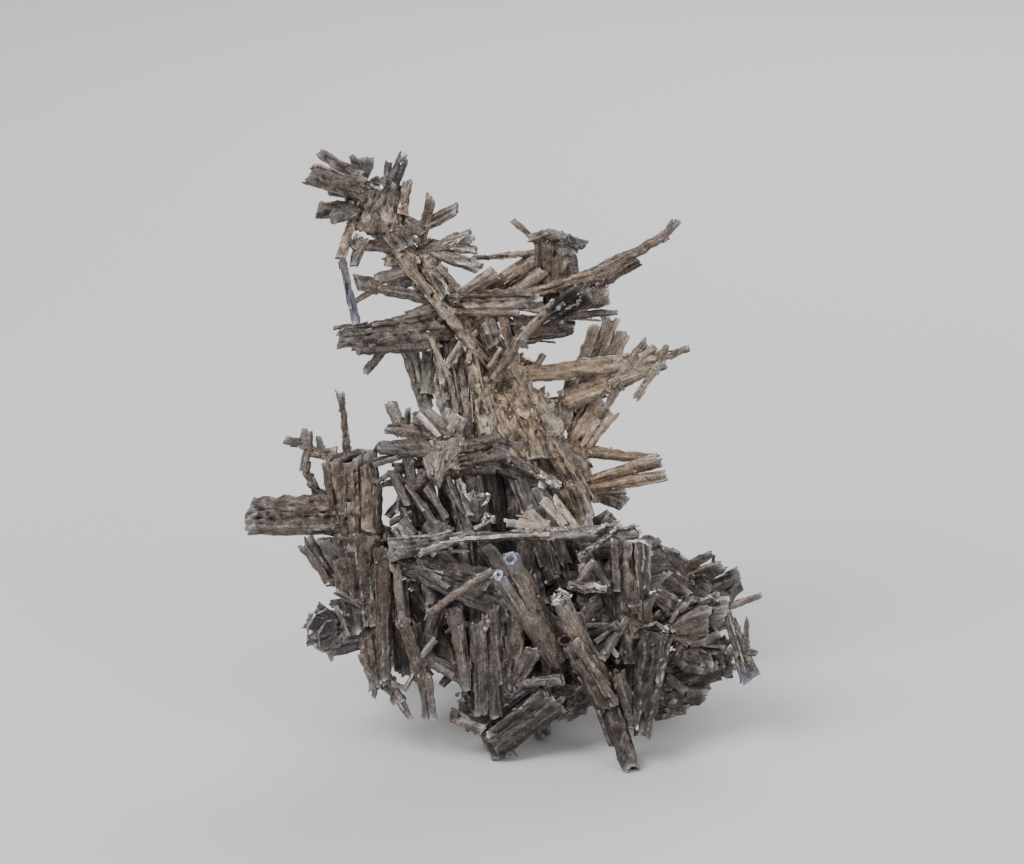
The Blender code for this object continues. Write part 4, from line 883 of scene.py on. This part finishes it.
def area_of(spec):
    """A blade's area seen flat on, in square millimetres."""
    return length_of(spec) * (spec.widths[0] + spec.widths[1]) / 2


def near(tint, chance, lighter=0.0):
    """A tint (tone, warmth and blue) a little off the given one."""
    return tint[0] + chance.normal(lighter, 0.08), tint[1] + chance.normal(0, 0.09), tint[2]


def splinters(growth, spec, chance, tint):
    """Thin slivers that lie along a blade, some peeling off its faces and some off its edges."""
    for _ in range(int(round(1 + area_of(spec) / 15))):
        point, s, width, axis, across, through = along_blade(spec, chance)
        on_edge = chance.random() < 0.3
        side = (1 if chance.random() < 0.5 else -1) if on_edge else chance.uniform(-0.8, 0.8)
        face = 1 if chance.random() < 0.7 else -1
        out = through * face * spec.thickness * (0.2 if on_edge else 0.44)
        start = point + across * side * width * 0.44 + out
        lean = chance.normal(0, 0.07) + (side * abs(chance.normal(0, 0.06)) if on_edge else 0)
        heading = unit(axis + across * lean + through * face * chance.normal(0.01, 0.03))
        if chance.random() < 0.15:
            heading = -heading
        length = length_of(spec)
        reach = min(chance.uniform(0.16, 0.5) * length, 8, (1.0 - s) * length + 0.4)
        wide = chance.uniform(0.35, 1.0) * min(1, 0.4 + 0.3 * width)
        ends = start - heading * 0.1 * reach, start + heading * reach
        widths = wide, wide * chance.uniform(0.5, 1)
        turn = spec.turn + chance.normal(0, 0.3)
        lath(growth, *ends, widths, chance.uniform(0.3, 0.55), turn, chance, near(tint, chance), fine=1.1)


def spurs(growth, spec, chance, tint, rate):
    """Short broken blades that stand off a blade at an angle."""
    for _ in range(chance.poisson(rate * length_of(spec) / 6)):
        point, _, width, axis, across, through = along_blade(spec, chance)
        side = 1 if chance.random() < 0.5 else -1
        angle = chance.uniform(0.45, 1.3)
        heading = axis * math.cos(angle) + across * side * math.sin(angle) + through * chance.normal(0, 0.3)
        end = point + unit(heading) * (width * 0.5 + chance.uniform(0.4, 1.6))
        wide = chance.uniform(0.6, 1.5)
        widths = wide, wide * chance.uniform(0.6, 1.1)
        thickness = chance.uniform(0.4, 0.9)
        turn = chance.normal(0, 0.5)
        lath(growth, point, end, widths, thickness, turn, chance, near(tint, chance), fine=1.1)


def crumbs(growth, spec, chance, tint, rate):
    """Rough grains that cling to a blade's faces and edges."""
    for _ in range(chance.poisson(rate * area_of(spec) / 4)):
        point, _, width, axis, across, through = along_blade(spec, chance)
        face = 1 if chance.random() < 0.75 else -1
        point = point + across * chance.uniform(-0.5, 0.5) * width
        point = point + through * face * (spec.thickness * 0.5 - 0.05)
        size = chance.uniform(0.08, 0.22) * (1 + 0.4 * (rate > 1))
        sizes = size * chance.uniform((0.8, 0.7, 0.5), (1.6, 1.1, 0.9))
        nugget(growth, point, (axis, across, through), sizes, chance, near(tint, chance, 0.05))


def crust(growth, spec, chance, tint):
    """Lumps of dull crust that bury a blade's root, where it grows out of its neighbours."""
    root, tip, (axis, across, through) = ends_of(spec)
    for _ in range(int(2 + 1.5 * spec.widths[0])):
        place = root + axis * abs(chance.normal(0, 0.12)) * min(12, np.linalg.norm(tip - root))
        place = place + across * chance.uniform(-0.55, 0.55) * spec.widths[0]
        place = place + through * chance.choice((-0.5, 0.5)) * spec.thickness * chance.uniform(0.8, 1.1)
        size = chance.uniform(0.25, 0.6)
        sizes = size * chance.uniform((0.9, 0.7, 0.4), (1.8, 1.1, 0.8))
        nugget(growth, place, (axis, across, through), sizes, chance, near(tint, chance, -0.02), 0.2)


def eye(growth, spec, chance, tint):
    """The open end of a tube, seen face on: an uneven rim about a hole painted dark as shade. Its widths
    are the rim's and the hole's. A tan one is warm all over; any other has a blue film. A rim that is not
    dark is painted bright, as worn silver and painted highlight."""
    centre = standing(spec.root)
    outer, hole = spec.widths[0] / 2, spec.widths[1] / 2
    turn = np.arange(EYE_SIDES) * 2 * math.pi / EYE_SIDES
    uneven = 1 + chance.normal(0, 0.09, EYE_SIDES)
    inner = (hole * 0.7, 1.4), (hole, 0.15), ((hole + outer) / 2, -0.2)
    rings = []
    for radius, depth in (*inner, (outer * 0.9, -0.1), (outer, 0.3), (outer * 0.9, 1.2)):
        reach = (radius * uneven * (1 + chance.normal(0, 0.04, EYE_SIDES)))[:, None]
        flat = np.outer(np.cos(turn), RIGHT) + np.outer(np.sin(turn) * (1 + spec.thickness), PICTURE_UP)
        rings.append(centre + reach * flat + SIGHT * (depth + chance.normal(0, 0.04, EYE_SIDES))[:, None])
    points = np.concatenate(rings)
    index = np.arange(len(points)).reshape(len(rings), EYE_SIDES)
    low, high = index[:-1], index[1:]
    rim = slice(EYE_SIDES, -EYE_SIDES)
    warm = bool(spec.words["tan"])
    facts = np.zeros((len(points), len(FACTS)))
    facts[:, RELIEF] = HOLE_SHADE_RELIEF
    facts[rim, RELIEF] = 0.8
    facts[rim, WEAR_AND_GLINT] = 0.3 if spec.words["dark"] else 3.0
    facts[rim, BLUE] = 0.0 if warm else 1.3
    facts[:, TONE] = tint[0] + 0.15
    facts[:, WARM] = tint[1] + 0.5 * warm
    grain = (points - centre) @ np.array((RIGHT, PICTURE_UP, SIGHT)).T
    faces = np.stack((low, high, np.roll(high, -1, 1), np.roll(low, -1, 1)), axis=2).reshape(-1, 4)
    growth.add(points, [faces, index[:1]], facts, grain)


def beads(growth, spec, chance, tint):
    """Crinkled beads of metal along a blade's line, with painted highlights on their crests and on
    scattered beads.
    """
    root, tip, _ = ends_of(spec)
    lath(growth, root, tip, spec.widths, spec.thickness, spec.turn, chance, tint, "beads", fine=0.8)
    for _ in range(int(length_of(spec) * 3)):
        point, axis, across, through = inside(spec, chance)
        directions = unit(axis + chance.normal(0, 0.5, 3)), across, through
        sizes = chance.uniform((0.2, 0.08, 0.08), (0.7, 0.2, 0.2))
        nugget(growth, point, directions, sizes, chance, near(tint, chance, 0.05), chance.uniform(0.2, 2.5))


def thicket(growth, spec, chance, tint):
    """A crowd of crossing blades that fills a thick inner blade, so that no broad slab shows; they are
    painted darker than their blade, as painted shade.
    """
    for _ in range(THICKET):
        point = inside(spec, chance)[0]
        angle = chance.choice((0.1, 0.75, -0.75, 1.5), p=(0.45, 0.2, 0.2, 0.15)) + chance.normal(0, 0.22)
        upright = PICTURE_UP * math.cos(angle) + RIGHT * math.sin(angle)
        heading = unit(upright + SIGHT * chance.normal(0, 0.3))
        reach = heading * chance.uniform(2.5, 6)
        wide = chance.uniform(1.0, 3.2)
        widths = wide, wide * chance.uniform(0.7, 1.1)
        thickness = chance.uniform(0.7, 1.5)
        turn = chance.normal(0, 0.5)
        # painted shade: the crowded inner blades are painted darker
        painted_shade_tint = near(tint, chance, -0.12)
        lath(growth, point - reach, point + reach, widths, thickness, turn, chance, painted_shade_tint, fine=1.5)


def tinted(tint, words):
    """A tint moved by the words of a blade's look."""
    tone = TONE_STEP * (words["light"] - words["dark"])
    warm = 0.4 * (words["tan"] - words["grey"] - words["steel"])
    return tint[0] + tone, tint[1] + warm, 0.05 * words["steel"] + 0.27 * words["violet"]


def grow(node, slot, limb, tone, warm, spur_rate):
    """A node's blades as fine pieces that take the place of its solid."""
    outer, inner = Growth(), Growth()
    chance = np.random.default_rng(sum(ord(letter) for letter in node) * SEED)
    blades, extras = limb
    for i, spec in enumerate(blades + extras):
        tint = tinted(near((tone, warm, 0.0), chance), spec.words)
        depth = (spec.root[2] + spec.tip[2]) / 2
        buried = node == "base_tangle" and depth > INNER_DEPTH
        growth = inner if buried else outer
        if spec.shape in DRAWN:
            DRAWN[spec.shape](growth, spec, chance, tint)
            continue
        if buried and depth < BACK_DEPTH:
            tint = tint[0] - TONE_STEP, *tint[1:]
        root, tip, _ = ends_of(spec)
        fine = 1.35 if buried or depth > SEEN_DEPTH else 1.0
        lath(growth, root, tip, spec.widths, spec.thickness, spec.turn, chance, tint, spec.shape, fine)
        if i < len(blades):
            splinters(growth, spec, chance, tint)
            spurs(growth, spec, chance, tint, spur_rate)
            crumbs(growth, spec, chance, tint, 2.2 if spec.shape == "crust" else 0.4 if buried else 1.0)
            crust(growth, spec, chance, tint)
    for growth, name in ((outer, node + "_blades"), (inner, node + "_inner")):
        if growth.count:
            piece = growth.piece(name, MATERIALS[slot])
            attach(piece, "root")
            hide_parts(node)


DRAWN = {"core": thicket, "beads": beads, "eye": eye}  # shapes that have a function of their own
THICKET = 42  # blades in a thicket
TONE_STEP = 0.12  # how far the words light and dark, and the shade inside the base, move a tone
INNER_DEPTH = 15  # the base's blades further back than this are its inner piece
BACK_DEPTH = 30  # the inner blades nearer than this are in the shade of the outer ones
SEEN_DEPTH = 31  # blades further back than this have coarser grids


# ---------------------------------------------------------------- silver


def add_node(tree, kind, **values):
    """A shader node with its settings and its constant inputs given by name."""
    node = tree.nodes.new("ShaderNode" + kind)
    for name, value in values.items():
        if hasattr(node, name):
            setattr(node, name, value)
        else:
            node.inputs[name.replace("_", " ")].default_value = value
    return node


def attribute(tree, name, output="Fac"):
    return add_node(tree, "Attribute", attribute_name=name).outputs[output]


def math_node(tree, operation, *values, clamp=False):
    """A Math node's result, for numbers or other nodes' results."""
    node = add_node(tree, "Math", operation=operation, use_clamp=clamp)
    for socket, value in zip(node.inputs, values):
        if isinstance(value, (int, float)):
            socket.default_value = value
        else:
            tree.links.new(value, socket)
    return node.outputs[0]


def mixed(tree, factor, first, second, blend="MIX"):
    """Two colours mixed, each a tuple or another node's result."""
    node = add_node(tree, "Mix", data_type="RGBA", blend_type=blend)
    for name, value in (("Factor", factor), ("A", first), ("B", second)):
        socket = [i for i in node.inputs if i.name == name and i.enabled][0]
        if isinstance(value, (int, float)):
            socket.default_value = value
        elif isinstance(value, tuple):
            socket.default_value = (*value, 1)
        else:
            tree.links.new(value, socket)
    return [o for o in node.outputs if o.enabled][0]


def noise(tree, vector, scale, detail, roughness=0.5):
    node = add_node(tree, "TexNoise", Scale=scale, Detail=detail, Roughness=roughness)
    tree.links.new(vector, node.inputs["Vector"])
    return node.outputs[0]


def silver(name, dark, body, light):
    """Tarnished silver: darker in the grooves, as tarnish and painted shade; lighter on the ribs and lumps,
    as painted highlight; bright where it is worn, and at painted highlights.
    """
    material = bpy.data.materials.new(name)
    material.use_nodes = True
    tree = material.node_tree
    calc, mix, link = partial(math_node, tree), partial(mixed, tree), tree.links.new
    shader = tree.nodes["Principled BSDF"]
    stretch = add_node(tree, "VectorMath", operation="MULTIPLY")
    stretch.inputs[1].default_value = (3.4, 0.28, 1.0)
    link(attribute(tree, "grain", "Vector"), stretch.inputs[0])
    fibre = noise(tree, stretch.outputs[0], 1.0, 5.0, 0.65)
    place = add_node(tree, "TexCoord").outputs["Object"]
    patch = noise(tree, place, 700.0, 5.0, 0.7)
    cloud = noise(tree, place, 160.0, 2.0)
    speck = noise(tree, place, 2600.0, 2.0, 0.6)

    # how light it is, from its relief, its tone and three noises, on a ramp from dark to light; through the
    # relief the grooves and pits are painted darker, as tarnish and painted shade, and the ribs and lumps
    # lighter, as painted highlight
    level = calc("MULTIPLY_ADD", attribute(tree, "relief"), 0.27, 0.06)
    tone = attribute(tree, "tone")
    level = calc("ADD", level, calc("MAXIMUM", tone, DARKEST_TONE))
    for grain, weight in ((fibre, 0.9), (patch, 0.55), (speck, 1.1)):
        level = calc("MULTIPLY_ADD", grain, weight, level)
    level = calc("SUBTRACT", level, 0.845, clamp=True)
    ramp = add_node(tree, "ValToRGB")
    ramp.color_ramp.elements[0].color = (*dark, 1)
    ramp.color_ramp.elements[1].color = (*light, 1)
    ramp.color_ramp.elements.new(0.5).color = (*body, 1)
    link(level, ramp.inputs[0])
    warmth = calc("MULTIPLY_ADD", cloud, 1.0, attribute(tree, "warm"), clamp=True)
    colour = mix(1.0, ramp.outputs[0], mix(warmth, COOL_TINT, WARM_TINT), "MULTIPLY")

    # tones below the darkest one fade the whole ramp toward black
    below = calc("MINIMUM", tone, DARKEST_TONE)
    gain = calc("MULTIPLY_ADD", below, 1.4, 1.35, clamp=True)
    colour = mix(gain, (0.0, 0.0, 0.0), colour)
    # bright silver is mixed in by the second fact, for worn metal and for painted highlights; it also makes
    # the surface smoother and more metallic
    wear_and_glint_mix = calc("MULTIPLY_ADD", patch, 2.6, -0.9)
    wear_and_glint_mix = calc("MULTIPLY", wear_and_glint_mix, attribute(tree, "wear_and_glint"), clamp=True)
    colour = mix(wear_and_glint_mix, colour, WORN_AND_GLINT_SILVER)
    colour = mix(calc("MULTIPLY", attribute(tree, "blue"), 0.6), colour, BLUE_FILM)
    link(colour, shader.inputs["Base Color"])
    rough = calc("MULTIPLY_ADD", level, -0.14, 0.50)
    rough = calc("MULTIPLY_ADD", wear_and_glint_mix, -0.18, rough)
    link(rough, shader.inputs["Roughness"])
    link(calc("MULTIPLY_ADD", wear_and_glint_mix, 0.3, 0.65), shader.inputs["Metallic"])
    height = calc("MULTIPLY_ADD", patch, 1.2, fibre)
    height = calc("MULTIPLY_ADD", speck, 0.7, height)
    bump = add_node(tree, "Bump", Strength=0.8, Distance=0.00016)
    link(height, bump.inputs["Height"])
    link(bump.outputs[0], shader.inputs["Normal"])
    return material


DARKEST_TONE = -0.25  # the lowest tone that the ramp shows
COOL_TINT = (0.86, 0.95, 1.02)
WARM_TINT = (1.12, 1.0, 0.84)
# the colour of worn silver, and of painted highlights
WORN_AND_GLINT_SILVER = (0.64, 0.59, 0.56)
BLUE_FILM = (0.36, 0.37, 0.53)
# Each silver's colours: in its grooves, on its ribs, and where it catches most light.
SILVERS = {
    "trunk_silver": ((0.062, 0.050, 0.042), (0.275, 0.222, 0.182), (0.56, 0.48, 0.405)),
    "tangle_silver": ((0.050, 0.040, 0.037), (0.155, 0.126, 0.114), (0.37, 0.32, 0.295)),
    "limb_silver": ((0.052, 0.042, 0.038), (0.208, 0.166, 0.147), (0.48, 0.42, 0.385)),
}
MATERIALS = {name: silver(name, *colours) for name, colours in SILVERS.items()}

# Each node, its silver, its blades, their tone and warmth, and how many spurs they have.
LIMBS = [
    ("base_tangle", "tangle_silver", BASE, -0.17, 0.0, 0.15),
    ("trunk", "trunk_silver", TRUNK, -0.07, 0.2, 0.3),
    ("left_column", "tangle_silver", LEFT_COLUMN, -0.17, 0.1, 0.1),
    ("right_block", "tangle_silver", RIGHT_BLOCK, -0.3, 0.1, 0.3),
    ("back_spray", "tangle_silver", BACK_SPRAY, -0.28, 0.0, 0.3),
    ("cross_blade", "limb_silver", CROSS_BLADE, 0.02, 0.0, 0.3),
    ("middle_star", "limb_silver", MIDDLE_STAR, -0.1, 0.0, 0.15),
    ("crown", "limb_silver", CROWN, -0.34, 0.15, 0.15),
    ("left_arm", "limb_silver", LEFT_ARM, -0.3, 0.0, 0.2),
    ("upper_right_limb", "limb_silver", UPPER_RIGHT_LIMB, -0.27, 0.15, 0.2),
    ("right_limb", "trunk_silver", RIGHT_LIMB, -0.09, 0.1, 0.1),
    ("forked_limb", "trunk_silver", FORKED_LIMB, -0.13, 0.2, 0.1),
]
for facts in LIMBS:
    grow(*facts)


# ---------------------------------------------------------------- studio


def plain(name, colour, roughness):
    material = bpy.data.materials.new(name)
    material.use_nodes = True
    shader = material.node_tree.nodes["Principled BSDF"]
    shader.inputs["Base Color"].default_value = (*colour, 1)
    shader.inputs["Roughness"].default_value = roughness
    return material


def softbox(name, place, aim, size, power):
    """A soft rectangular lamp that faces a point."""
    data = bpy.data.lights.new(name, "AREA")
    data.shape = "RECTANGLE"
    data.size, data.size_y = size
    data.energy = power
    lamp = bpy.data.objects.new(name, data)
    lamp.location = place
    lamp.rotation_euler = (Vector(aim) - Vector(place)).to_track_quat("-Z", "Y").to_euler()
    bpy.context.scene.collection.objects.link(lamp)


bpy.ops.mesh.primitive_plane_add(size=6)
floor = bpy.context.object
floor.name = "floor"
floor.data.materials.append(plain("floor", (0.62, 0.61, 0.60), 0.9))

softbox("key", (-0.45, -0.35, 0.65), (0, 0, 0.05), (0.45, 0.45), 6.5)
softbox("fill", (0.6, -0.5, 0.35), (0, 0, 0.05), (0.5, 0.4), 2.5)
softbox("back", (0.25, 0.6, 0.5), (0, 0, 0.06), (0.6, 0.3), 4)

world = bpy.data.worlds.new("studio")
world.use_nodes = True
background = world.node_tree.nodes["Background"]
background.inputs["Color"].default_value = (0.8, 0.82, 0.85, 1)
background.inputs["Strength"].default_value = 0.75
bpy.context.scene.world = world

lens = bpy.data.cameras.new("camera")
lens.lens = lens.sensor_width * SIGHT_DISTANCE / PICTURE_WIDTH
lens.clip_start, lens.clip_end = 0.01, 20
camera = bpy.data.objects.new("camera", lens)
camera.location = standing((*SIGHT_AXIS, SIGHT_DEPTH - SIGHT_DISTANCE)) * MM
camera.rotation_euler = Vector(SIGHT).to_track_quat("-Z", "Y").to_euler()
bpy.context.scene.collection.objects.link(camera)
bpy.context.scene.camera = camera
